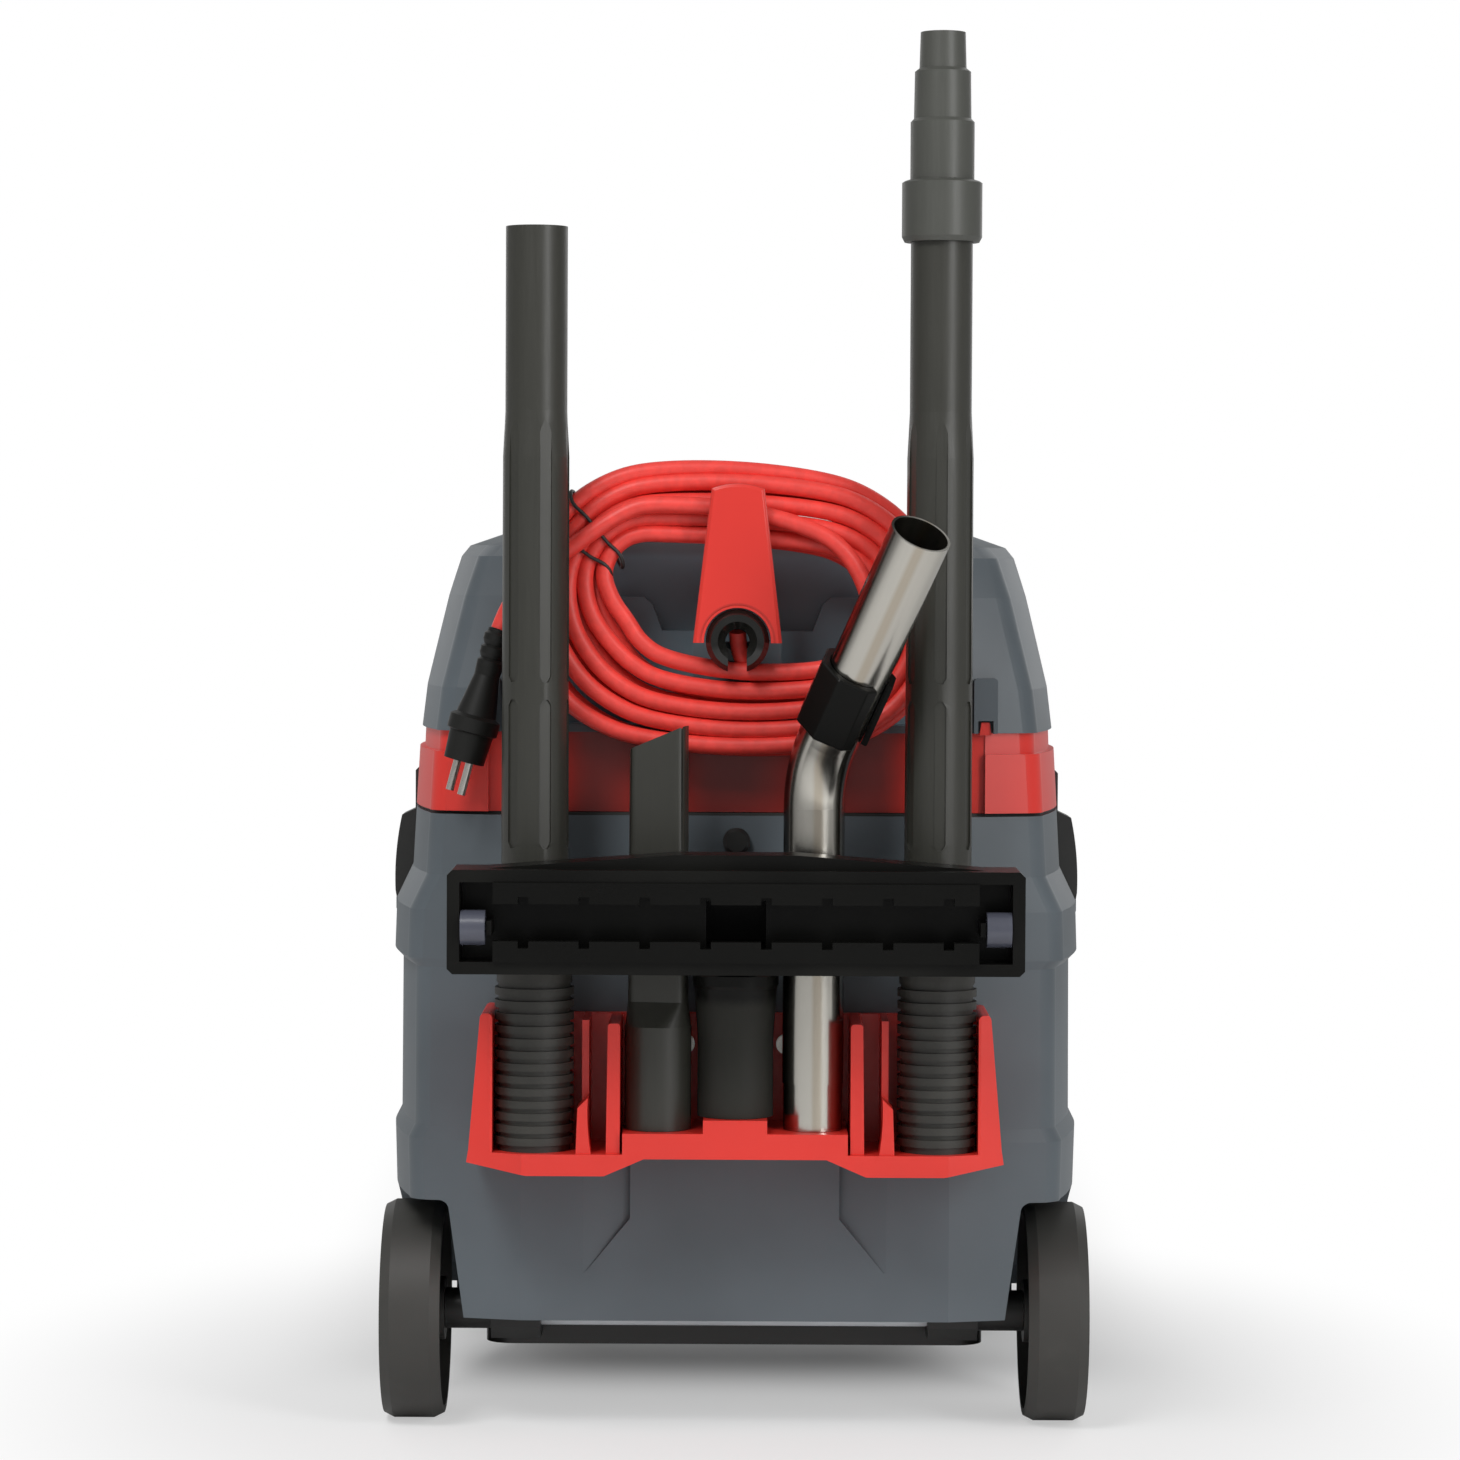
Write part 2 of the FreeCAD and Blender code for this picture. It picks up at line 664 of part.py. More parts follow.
def make_tank_shell():
    body = new_body("tank_shell")
    steps = (
        ("tank_floor", "tank_bottom_half"),
        ("arch_height", "skirt_half-1"),
        ("skirt_top", "skirt_half"),
        ("waist_height", "waist_half"),
        ("ledge_under", "ledge_under_half"),
        ("ledge_top", "ledge_half"),
        ("shoulder_low", "shoulder_low_half"),
        ("shoulder_high", "shoulder_high_half"),
        ("tank_top-seal_height", "rim_half"),
    )
    loft(body, [plan(body, level, half) for level, half in steps])
    back = "rim_recess+tank_wall"
    depth = "tank_depth-tank_wall"
    ends = "arch_height+tank_wall", "tank_top-seal_height"
    hollow = [plan(body, end, "rim_half-tank_wall", back, depth) for end in ends]
    loft(body, hollow, "SubtractiveLoft")
    well = box("-arch_wall_half+tank_wall", "arch_wall_half-tank_wall",
               f"rear_face+{back}", "rear_face+tank_depth-front_corner")
    well = sketch(body, "XY", well, offset="arch_height+tank_wall+1")
    pocket(body, well, "arch_height+tank_wall+1-tank_floor-floor_rise")
    # wheel arches, open to the back and to the floor
    arch = [
        ("rear_face-20", "0"),
        ("rear_face+arch_front", "0"),
        ("rear_face+arch_front", "arch_height", ("round", "arch_round")),
        ("rear_face-20", "arch_height"),
    ]
    start = "arch_wall_high+arch_fillet"
    cut = pocket(body, sketch(body, "YZ", arch, offset=start), "skirt_half", Reversed=True)
    # the arch's inner wall leans in towards the floor and turns into the top with a fillet
    lean = [
        ("arch_wall_half", "tank_floor-1"),
        (f"{start}+1", "tank_floor-1"),
        (f"{start}+1", "arch_height"),
        (start, "arch_height", ("bow", "arch_fillet*(1-cos(45))")),
        ("arch_wall_high", "arch_height-arch_fillet"),
        ("arch_wall_half", "tank_floor"),
    ]
    lean = pocket(body, sketch(body, "XZ", lean, offset="-rear_face+1"), "arch_front-arch_round+1")
    behind = [
        ("rear_face+arch_front-arch_round-1", "0"),
        ("rear_face+arch_front", "0"),
        ("rear_face+arch_front", "arch_height-arch_round"),
        ("rear_face+arch_front-arch_round-1", "arch_height"),
    ]
    behind = sketch(body, "YZ", behind, offset="arch_wall_high")
    behind = pocket(body, behind, "arch_fillet+1", Reversed=True)
    mirrored(body, [cut, lean, behind])
    # tunnel for the axle under the floor
    tunnel = box("axle_y-tunnel_half", "axle_y+tunnel_half", "tank_floor-1", "tunnel_top")
    pocket(body, sketch(body, "YZ", tunnel, offset="arch_wall_high"), "2*arch_wall_high")
    # set-back middle of the rim and a wedge cut low on each side of the rear face
    recess = box("-rim_recess_half", "rim_recess_half", "rim_recess_low", "tank_top+5")
    pocket(body, sketch(body, "XZ", recess, offset="-rear_face"), "rim_recess")
    foot = "wedge_low+wedge_tip*(wedge_high-wedge_low)"
    for side in (-1, 1):
        wedge = []
        for level, share in (("holder_floor", "1"), ("wedge_high", "1"), (foot, "wedge_tip")):
            inner = f"{side}*(wedge_outer-(wedge_outer-wedge_inner)*{share})"
            outer = f"{side}*(wedge_outer+(wedge_outer-wedge_inner)/wedge_deep*{share})"
            corners = [
                (inner, f"rear_face-{share}"),
                (outer, f"rear_face-{share}"),
                (inner, f"rear_face+wedge_deep*{share}"),
            ]
            wedge.append(sketch(body, "XY", corners, offset=level))
        loft(body, wedge, "SubtractiveLoft")
    # seat and bore for the hose port in the front
    seat = ("circle", "0", "inlet_height", "inlet_flange+2")
    pad(body, sketch(body, "XZ", seat, offset="-inlet_face"), "inlet_depth")
    bore = ("circle", "0", "inlet_height", "inlet_bore+3")
    pocket(body, sketch(body, "XZ", bore, offset="-inlet_face+inlet_depth+20"), "inlet_depth+40")
    # a bay in each side for the latch, with two lugs for its pin
    bay = box("latch_middle-latch_width/2-latch_lug-1", "latch_middle+latch_width/2+latch_lug+1",
              "latch_pivot_height-12", "tank_top+5")
    bay = pocket(body, sketch(body, "YZ", bay, offset="latch_bay_half"), "60", Reversed=True)
    lug = [
        ("latch_bay_half-1", "latch_pivot_height-8"),
        ("latch_pivot_out+4", "latch_pivot_height-6"),
        ("latch_pivot_out+6", "latch_pivot_height-3"),
        ("latch_pivot_out+6", "latch_pivot_height+4"),
        ("latch_bay_half-1", "latch_pivot_height+10"),
    ]
    eye = ("circle", "latch_pivot_out", "latch_pivot_height", "latch_pin_radius")
    lugs = []
    for edge in ("latch_width/2+0.5", "-latch_width/2-0.5-latch_lug"):
        profile = sketch(body, "XZ", lug, eye, offset=f"-latch_middle-latch_lug-({edge})")
        lugs.append(pad(body, profile, "latch_lug"))
    mirrored(body, [bay] + lugs)
    return body


def make_tank_seal():
    body = new_body("tank_seal")
    body_outer = plan(body, "tank_top-seal_height", "rim_half-1", "rim_recess+1", "tank_depth-1")
    pad(body, body_outer, "seal_height-lid_gap")
    bore = plan(body, "tank_top", "rim_half-tank_wall", "rim_recess+tank_wall", "tank_depth-tank_wall")
    pocket(body, bore, "seal_height+1")
    return body


def make_rear_button():
    body = new_body("rear_button")
    turned(body, [("0", "0"), ("rear_button_radius", "0"), ("rear_button_radius", "5"),
                  ("rear_button_radius-2", "7"), ("0", "7")])
    return place(body, 0, "rear_face+rim_recess", "rear_button_height", FreeCAD.Vector(1, 0, 0), "90")


# ---------------------------------------------------------------- tool holder


def make_tool_holder():
    body = new_body("tool_holder")
    rear = "-rear_face"
    base = both_sides([
        ("holder_foot_inner", "holder_low+holder_foot_drop"),
        ("holder_foot_middle", "holder_low"),
        ("holder_foot_outer", "holder_low"),
        ("holder_half", "holder_low+6"),
        ("holder_half-1", "holder_floor"),
        ("tool_spacing/2+tool_bay", "holder_floor"),
        ("tool_spacing/2+tool_bay", "tool_floor"),
        ("neck_bay", "tool_floor"),
        ("neck_bay", "neck_floor"),
    ])
    pad(body, sketch(body, "XZ", base, offset=rear), "holder_depth")
    arm = [
        ("tube_spacing/2+sleeve_bay", "holder_floor-1"),
        ("holder_half-1", "holder_floor-1"),
        ("holder_arm_half", "holder_arm_top", ("round", "3")),
        ("tube_spacing/2+sleeve_bay", "holder_arm_top", ("round", "3")),
    ]
    wall = [
        ("holder_wall_half-holder_wall", "holder_floor-1"),
        ("holder_wall_half+1", "holder_floor-1"),
        ("holder_wall_half", "holder_wall_top", ("round", "2")),
        ("holder_wall_half-holder_wall", "holder_wall_top", ("round", "2")),
    ]
    rib = box("holder_rib_half-holder_rib", "holder_rib_half", "holder_floor-1", "holder_wall_top")
    fin = [
        ("holder_fin_half-8", "holder_floor-1"),
        ("holder_fin_half+1", "holder_floor-1"),
        ("holder_fin_half", "holder_fin_top-6"),
        ("holder_fin_half-6", "holder_fin_top", ("bow", "-1")),
    ]
    parts = [
        pad(body, sketch(body, "XZ", arm, offset=rear), "holder_depth-8"),
        pad(body, sketch(body, "XZ", wall, offset=rear), "holder_depth-4"),
        pad(body, sketch(body, "XZ", rib, offset=rear), "holder_depth-24"),
        pad(body, sketch(body, "XZ", fin, offset=rear + "+holder_depth-26"), "24"),
    ]
    # the front corners of the tray slant away
    corner = [
        ("holder_crease", "rear_face-holder_depth"),
        ("holder_crease", "rear_face-holder_depth-5"),
        ("holder_half+5", "rear_face-holder_depth-5"),
        ("holder_half+5", "rear_face-holder_depth+holder_slant"),
    ]
    slant = sketch(body, "XY", corner, offset="holder_low-5")
    parts.append(pocket(body, slant, "holder_arm_top", Reversed=True))
    mirrored(body, parts)
    back = box("-holder_arm_half", "holder_arm_half", "holder_floor-1", "holder_wall_top")
    pad(body, sketch(body, "XZ", back, offset=rear), "holder_back")
    # pegs that the open ends of the tools stand over, and screw bores to the tank
    bores = [("circle", f"{side}*holder_screw_spacing/2", "holder_screw_height", "screw_radius")
             for side in (-1, 1)]
    pocket(body, sketch(body, "XZ", *bores, offset=rear + "+holder_back+1"), "holder_back+1")
    for axis, radius, floor in (
        ("-tool_spacing/2", "crevice_bore-peg_gap", "tool_floor"),
        ("tool_spacing/2", "hand_tube_radius-hand_tube_wall-peg_gap", "tool_floor"),
        ("0", "neck_radius-nozzle_wall-peg_gap", "neck_floor"),
        ("-tube_spacing/2", "tube_end_radius-tube_wall-peg_gap", "holder_floor"),
        ("tube_spacing/2", "tube_end_radius-tube_wall-peg_gap", "holder_floor"),
    ):
        peg = sketch(body, "XY", ("circle", axis, "tool_row", radius), offset=f"{floor}-1")
        pad(body, peg, "peg_height")
    return body


def make_holder_screws():
    body = new_body("holder_screws")
    for side in (-1, 1):
        spot = f"{side}*holder_screw_spacing/2", "holder_screw_height"
        shank = sketch(body, "XZ", ("circle", *spot, "screw_radius-0.05"), offset="-rear_face")
        pad(body, shank, "holder_back+1")
        head = sketch(body, "XZ", ("circle", *spot, "screw_radius*2"), offset="-rear_face+holder_back")
        pad(body, head, "3")
    return body


def make_sleeve(name, side):
    """Ribbed rubber sleeve that a tube stands in."""
    body = new_body(name)
    inner = "tube_end_radius+sleeve_gap"
    ribs = 13
    groove = "sleeve_radius-sleeve_rib_depth"
    profile = [("tube_end_radius-tube_wall-peg_gap+0.2", "0"), (groove, "0")]
    for rib in range(ribs):
        low = f"sleeve_foot+sleeve_pitch*{rib}"
        high = f"{low}+sleeve_rib_high"
        profile += [(groove, low), ("sleeve_radius", low), ("sleeve_radius", high), (groove, high)]
    top = f"sleeve_foot+sleeve_pitch*{ribs}"
    profile += [
        (groove, top),
        ("sleeve_radius-1", top),
        ("sleeve_radius-1", "sleeve_height"),
        (inner, "sleeve_height"),
        (inner, "3"),
        ("tube_end_radius-tube_wall-peg_gap+0.2", "3"),
    ]
    turned(body, profile)
    return place(body, f"{side}*tube_spacing/2", "tool_row", "holder_floor")


# ---------------------------------------------------------------- chassis and wheels


def make_chassis_frame():
    body = new_body("chassis_frame")
    rear, front = "rear_face+chassis_rear", "chassis_front"
    outer = [(x, y, ("round", "16")) for x, y in box("-chassis_half", "chassis_half", rear, front)]
    inner = [(x, y, ("round", "8")) for x, y in
             box("-chassis_half+chassis_rail", "chassis_half-chassis_rail",
                 f"{rear}+chassis_rail", f"{front}-chassis_rail")]
    pad(body, sketch(body, "XY", outer, inner, offset="chassis_low"), "tank_floor-chassis_low")
    # outriggers carry the casters out past the tank's front corners
    y = "caster_y"
    arm = [
        ("chassis_half-60", f"{front}-40"),
        ("chassis_half-2", f"{front}-40"),
        ("caster_spacing/2+outrigger_width/2-4", y),
        ("caster_spacing/2-outrigger_width/2+4", f"{y}+4"),
        ("chassis_half-60", f"{front}-4"),
    ]
    arm = pad(body, sketch(body, "XY", arm, offset="chassis_low"), "tank_floor-0.3-chassis_low")
    boss = ("circle", "caster_spacing/2", y, "outrigger_width/2")
    boss = pad(body, sketch(body, "XY", boss, offset="outrigger_low-0.3"), "outrigger_high-outrigger_low")
    room = ("circle", "caster_spacing/2", y, "caster_radius+caster_trail+5")
    room = pocket(body, sketch(body, "XY", room, offset="outrigger_low-0.3"), "60")
    hole = ("circle", "caster_spacing/2", y, "caster_stem_radius+running_gap")
    hole = pocket(body, sketch(body, "XY", hole, offset="outrigger_high+1"), "60")
    mirrored(body, [arm, boss, room, hole])
    return body


def make_axle_bracket(name, side):
    body = new_body(name)
    seat, snug = "tank_floor", "tunnel_half-0.2"
    profile = [
        ("axle_y-tunnel_half-2", "bracket_low"),
        ("rear_face+chassis_rear", "bracket_low"),
        ("rear_face+chassis_rear", seat),
        (f"axle_y+{snug}", seat),
        (f"axle_y+{snug}", "tunnel_top"),
        (f"axle_y-({snug})", "tunnel_top"),
        (f"axle_y-({snug})", seat),
        ("axle_y-bracket_reach", seat),
        ("axle_y-bracket_reach", "bracket_low+8"),
    ]
    bore = ("circle", "axle_y", "wheel_radius", "axle_radius+running_gap")
    start = "bracket_inner" if side > 0 else "-bracket_outer"
    pad(body, sketch(body, "YZ", profile, bore, offset=start), "bracket_outer-bracket_inner")
    ring = ("circle", "axle_y", "wheel_radius", "spacer_radius")
    start = "bracket_outer" if side > 0 else "-(wheel_inner_face-wheel_side_gap)"
    pad(body, sketch(body, "YZ", ring, bore, offset=start), "wheel_inner_face-wheel_side_gap-bracket_outer")
    return body


def across(name, radius, start, length, y, z):
    """A bar along X, and its body."""
    body = new_body(name)
    pad(body, sketch(body, "YZ", ("circle", y, z, radius), offset=start), length)
    return body


def make_rear_axle():
    return across("rear_axle", "axle_radius", "-axle_half", "2*axle_half", "axle_y", "wheel_radius")


def make_axle_cap(name, side):
    body = new_body(name)
    turned(body, [("0", "0"), ("axle_cap_radius", "0"), ("axle_cap_radius", "2"),
                  ("axle_cap_radius-4", "axle_cap_depth-1"), ("0", "axle_cap_depth-1")])
    return place(body, f"{side}*axle_half", "axle_y", "wheel_radius",
                 FreeCAD.Vector(0, 1, 0), f"{side}*90")


def make_rear_wheel(name, side):
    body = new_body(name)
    rim = "wheel_radius-tread_depth"
    profile = [
        ("axle_radius+running_gap", "0"),
        ("hub_radius", "0"),
        ("hub_radius+1", "wheel_web"),
        (f"{rim}-1", "wheel_web"),
        (rim, "0"),
        ("wheel_radius-wheel_shoulder/2", "0"),
        ("wheel_radius", "wheel_shoulder"),
        ("wheel_radius", "wheel_width-wheel_shoulder"),
        ("wheel_radius-wheel_shoulder/2", "wheel_width"),
        (rim, "wheel_width"),
        (f"{rim}-4", "wheel_web+wheel_skin"),
        ("hub_radius+6", "wheel_web+wheel_skin"),
        ("hub_radius", "wheel_width-hub_set_in"),
        ("axle_radius+running_gap", "wheel_width-hub_set_in"),
    ]
    turned(body, profile)
    rib = box("hub_radius-1", f"{rim}+1", "-wheel_skin/2", "wheel_skin/2")
    rib = pad(body, sketch(body, "XY", rib, offset="wheel_rib_foot"), "wheel_web-wheel_rib_foot+1")
    around(body, [rib], "wheel_rib_count")
    return place(body, f"{side}*wheel_inner_face", "axle_y", "wheel_radius",
                 FreeCAD.Vector(0, 1, 0), f"{side}*90")


def make_caster_fork(name, side):
    body = new_body(name)
    plate = ("circle", "0", "0", "fork_plate_radius")
    pad(body, sketch(body, "XY", plate, offset="fork_top-fork_wall"), "fork_wall")
    stem = ("circle", "0", "0", "caster_stem_radius")
    pad(body, sketch(body, "XY", stem, offset="fork_top-1"), "outrigger_high-fork_top")
    leg = [
        ("caster_trail-6", "caster_radius-5", ("bow", "2.5")),
        ("caster_trail+6", "caster_radius-5"),
        ("caster_trail+7", "caster_radius+6"),
        ("fork_plate_radius-3", "fork_top"),
        ("-fork_plate_radius+5", "fork_top"),
        ("-fork_plate_radius+5", "fork_top-10"),
    ]
    hole = ("circle", "caster_trail", "caster_radius", "caster_pin_radius")
    inner = "caster_width/2+fork_gap"
    for start in (inner, f"-({inner})-fork_wall"):
        pad(body, sketch(body, "YZ", leg, hole, offset=start), "fork_wall")
    return place(body, f"{side}*caster_spacing/2", "caster_y", 0)


def make_caster_pin(name, side):
    body = new_body(name)
    half = "caster_width/2+fork_gap+fork_wall"
    pin = ("circle", "0", "0", "caster_pin_radius")
    pad(body, sketch(body, "YZ", pin, offset=f"-({half})"), f"2*({half})")
    head = ("circle", "0", "0", "caster_pin_radius+2")
    for start in (half, f"-({half})-1.5"):
        pad(body, sketch(body, "YZ", head, offset=start), "1.5")
    return place(body, f"{side}*caster_spacing/2", "caster_y+caster_trail", "caster_radius")


def make_caster_wheel(name, side):
    body = new_body(name)
    half = "caster_width/2"
    profile = [
        ("caster_pin_radius+running_gap", f"-{half}"),
        ("caster_pin_radius+5", f"-{half}"),
        ("caster_pin_radius+6", f"-{half}+4"),
        ("caster_radius-7", f"-{half}+4"),
        ("caster_radius-6", f"-{half}+1"),
        ("caster_radius-2", f"-{half}+1"),
        ("caster_radius", f"-{half}+5"),
        ("caster_radius", f"{half}-5"),
        ("caster_radius-2", f"{half}-1"),
        ("caster_radius-6", f"{half}-1"),
        ("caster_radius-7", f"{half}-4"),
        ("caster_pin_radius+6", f"{half}-4"),
        ("caster_pin_radius+5", half),
        ("caster_pin_radius+running_gap", half),
    ]
    turned(body, profile)
    return place(body, f"{side}*caster_spacing/2", "caster_y+caster_trail", "caster_radius",
                 FreeCAD.Vector(0, 1, 0), "90")


# ---------------------------------------------------------------- latches


def make_latch(name, side):
    """Lever whose nose bites in a slot in the head; it swings out on its pin."""
    body = new_body(name)
    out, up = f"{side}*latch_pivot_out", "latch_pivot_height"
    lever = [
        ("latch_pivot_out-4", f"{up}-5", ("bow", "3")),
        ("latch_pivot_out+5", f"{up}-4"),
        ("latch_pivot_out+latch_flare", f"{up}+8", ("bow", "1.5")),
        ("latch_pivot_out+latch_flare-4", "latch_blade_top"),
        ("catch_out+catch_thick", "latch_blade_top+4"),
        ("catch_out+catch_thick", "catch_top+5"),
        ("catch_out+catch_thick-2", "catch_top+7"),
        ("catch_out-catch_bite+1", "catch_top+6"),
        ("catch_out-catch_bite", "catch_top+lid_gap"),
        ("catch_out+1", "catch_top+lid_gap"),
        ("catch_out+1", "latch_blade_top-5"),
        ("latch_pivot_out-4", f"{up}+16"),
    ]
    if side < 0:
        lever = flipped(lever)
    eye = ("circle", out, up, "latch_pin_radius+running_gap")
    profile = sketch(body, "XZ", lever, eye, offset="-latch_middle-latch_width/2")
    pad(body, profile, "latch_width")
    return body


def flipped(corners):
    """The same outline on the other side of the middle."""
    return both_sides(corners)[len(corners):]


def make_latch_pins():
    """Two pins, one in each pair of lugs."""
    body = new_body("latch_pins")
    half = "latch_width/2+0.5+latch_lug"
    for side in (-1, 1):
        spot = ("circle", f"{side}*latch_pivot_out", "latch_pivot_height", "latch_pin_radius")
        pad(body, sketch(body, "XZ", spot, offset=f"-latch_middle-({half})"), f"2*({half})")
    return body


# ---------------------------------------------------------------- head: ring and hood


def make_head_ring():
    """Red base of the head: a ring with a set-back middle at the rear, slots that the
    latches bite in, and a lip inside that carries the motor deck."""
    body = new_body("head_ring")
    top = "ring_top"
    steps = (
        ("tank_top", "rim_half", "0"),
        ("ring_band_top", "rim_half-2", "0"),
        ("ring_band_top", "rim_half-5", "3"),
        (top, "rim_half-5.5", "3"),
    )
    for low, high in (steps[:2], steps[2:]):
        loft(body, [plan(body, z, half, back, f"tank_depth-{back}") for z, half, back in (low, high)])
    opening = "rim_half-ring_wall", "ring_wall+ring_recess", "tank_depth-ring_wall"
    pocket(body, plan(body, f"{top}+1", *opening), f"{top}+1-tank_top-ring_lip")
    lip = "rim_half-ring_wall-ring_lip_width", "ring_wall+ring_recess+ring_lip_width", \
        "tank_depth-ring_wall-ring_lip_width"
    pocket(body, plan(body, f"{top}+1", *lip), f"{top}+2-tank_top")
    recess = box("-ring_recess_half", "ring_recess_half", "tank_top-1", f"{top}+1")
    pocket(body, sketch(body, "XZ", recess, offset="-rear_face"), "ring_recess")
    slot = box("catch_out-catch_bite-1.5", "rim_half+side_bow", "catch_top", "catch_top+catch_slot")
    slot = sketch(body, "XZ", slot, offset="-latch_middle+latch_width/2+1")
    slot = pocket(body, slot, "latch_width+2")
    hook = [
        ("snap_middle-snap_half", f"{top}-1"),
        ("snap_middle+snap_half", f"{top}-1"),
        ("snap_middle+snap_half-1", "snap_top"),
        ("snap_middle-snap_half+1", "snap_top"),
    ]
    hook = sketch(body, "XZ", hook, offset="-rear_face-snap_set_in-snap_depth")
    hook = pad(body, hook, "snap_depth")
    mirrored(body, [slot, hook])
    return body


def make_motor_deck():
    body = new_body("motor_deck")
    outer = plan(body, "deck_low", "rim_half-ring_wall-0.2", "ring_wall+ring_recess+0.2",
                 "tank_depth-ring_wall-0.2")
    pad(body, outer, "deck_thick")
    inlet = ("circle", "0", "motor_y", "inlet_radius")
    pocket(body, sketch(body, "XY", inlet, offset="deck_low+deck_thick"), "deck_thick")
    return body


LID_HINGE = "(outlet_half+lid_barrel+1.9)"


def make_hood():
    """Grey hood: lofted shell with a deep bay at the back for the wound cord."""
    body = new_body("hood")
    steps = (
        ("ring_top", "hood_low_half", "0", "tank_depth-4"),
        ("hood_break", "hood_break_half", "2", "tank_depth-6"),
        ("hood_shoulder", "hood_shoulder_half", "12", "tank_depth-22"),
        ("hood_brow", "hood_brow_half", "19", "tank_depth-34"),
        ("hood_edge", "hood_brow_half-5", "32", "tank_depth-48"),
        ("hood_top", "hood_brow_half-24", "70", "tank_depth-86"),
    )
    loft(body, [plan(body, *step) for step in steps])
    # bay: deep above, with a shelf below whose edge dips in the middle
    deep = [
        ("-shelf_dip_half+6", "shelf_low"),
        ("shelf_dip_half-6", "shelf_low"),
        ("shelf_dip_half", "shelf_high-4"),
        ("shelf_dip_half+5", "shelf_high"),
        ("bay_half", "shelf_high"),
        ("bay_half-3", "hood_top+20"),
        ("-bay_half+3", "hood_top+20"),
        ("-bay_half", "shelf_high"),
        ("-shelf_dip_half-5", "shelf_high"),
        ("-shelf_dip_half", "shelf_high-4"),
    ]
    pocket(body, sketch(body, "XZ", deep, offset="-rear_face+1"), "bay_depth+1")
    low = box("-bay_half", "bay_half", "bay_floor", "shelf_high")
    low = [low[0] + (("round", "8"),), low[1] + (("round", "8"),), low[2], low[3]]
    pocket(body, sketch(body, "XZ", low, offset="-rear_face+1"), "shelf_depth+1")
    column = box("-hook_foot_half", "hook_foot_half", "bay_floor-1", "hook_foot")
    column = sketch(body, "XZ", column, offset="-rear_face-shelf_depth-1")
    pad(body, column, "shelf_depth+1-column_set_in")
    # blocks that the ring's snap hooks reach into
    block = [
        ("snap_middle-snap_block_half", "ring_top"),
        ("snap_middle+snap_block_half", "ring_top"),
        ("snap_middle+snap_block_half", "snap_block_top", ("round", "2")),
        ("snap_middle-snap_block_half", "snap_block_top", ("round", "2")),
    ]
    block = sketch(body, "XZ", block, offset="-rear_face-snap_set_in-2*snap_block_half")
    block = pad(body, block, "2*snap_block_half+snap_block_proud")
    snap = box("snap_middle-snap_half-1", "snap_middle+snap_half+1", "ring_top-1", "snap_top+1")
    snap = pocket(body, sketch(body, "XZ", snap, offset="-rear_face+1"), "snap_set_in+snap_depth+2")
    mirrored(body, [block, snap])
    # inside
    back = "bay_depth+hood_wall"
    inside = [
        plan(body, "ring_top-1", "hood_low_half-hood_wall-4", back, "tank_depth-10"),
        plan(body, "hood_edge-hood_wall", "hood_brow_half-hood_wall-6", back, "tank_depth-60"),
    ]
    loft(body, inside, "SubtractiveLoft")
    # finger recess under the carry handle
    grip = [(x, y, ("round", "14")) for x, y in
            box("-grip_half", "grip_half", "grip_y-grip_width/2", "grip_y+grip_width/2")]
    well = [(x, y, ("round", "16")) for x, y in
            box("-grip_half-hood_wall", "grip_half+hood_wall",
                "grip_y-grip_width/2-hood_wall", "grip_y+grip_width/2+hood_wall")]
    floor = "hood_top-grip_deep-hood_wall"
    pad(body, sketch(body, "XY", well, offset=floor), "grip_deep")
    pocket(body, sketch(body, "XY", grip, offset="hood_top+1"), "grip_deep+1")
    # bosses on the front for the two knobs, a frame for the outlet
    for x, radius in (("-knob_spacing/2", "switch_radius+3"), ("knob_spacing/2", "knob_radius+3")):
        boss = ("circle", x, "knob_height", radius)
        boss = sketch(body, "XZ", boss, offset="-knob_face+boss_depth")
        pad(body, boss, "boss_depth", Reversed=True)
        hole = sketch(body, "XZ", ("circle", x, "knob_height", "knob_stem+running_gap"),
                      offset="-knob_face")
        pocket(body, hole, "40", Reversed=True)
    half = "outlet_half"
    frame = [(x, y, ("round", "8")) for x, y in
             box(f"-{half}-4", f"{half}+4", f"outlet_height-{half}-4", f"outlet_height+{half}+4")]
    frame = sketch(body, "XZ", frame, offset="-knob_face+boss_depth")
    pad(body, frame, "boss_depth", Reversed=True)
    seat = [(x, y, ("round", "6")) for x, y in
            box(f"-{half}-0.1", f"{half}+0.1", f"outlet_height-{half}-0.1", f"outlet_height+{half}+0.1")]
    pocket(body, sketch(body, "XZ", seat, offset="-knob_face+boss_depth+1"), "boss_depth+2")
    # ears for the lid's pins
    y, z = "knob_face+lid_gap+lid_barrel", f"outlet_height+{LID_HINGE}"
    ear = [
        ("knob_face-4", f"{z}-2.8"),
        (f"{y}+2.8", f"{z}-2.8"),
        (f"{y}+2.8", f"{z}+2.8"),
        ("knob_face-4", f"{z}+2.8"),
    ]
    ear = sketch(body, "YZ", ear, ("circle", y, z, "lid_pin+running_gap"), offset="lid_half+seat_gap")
    mirrored(body, [pad(body, ear, "4.5")])
    return body


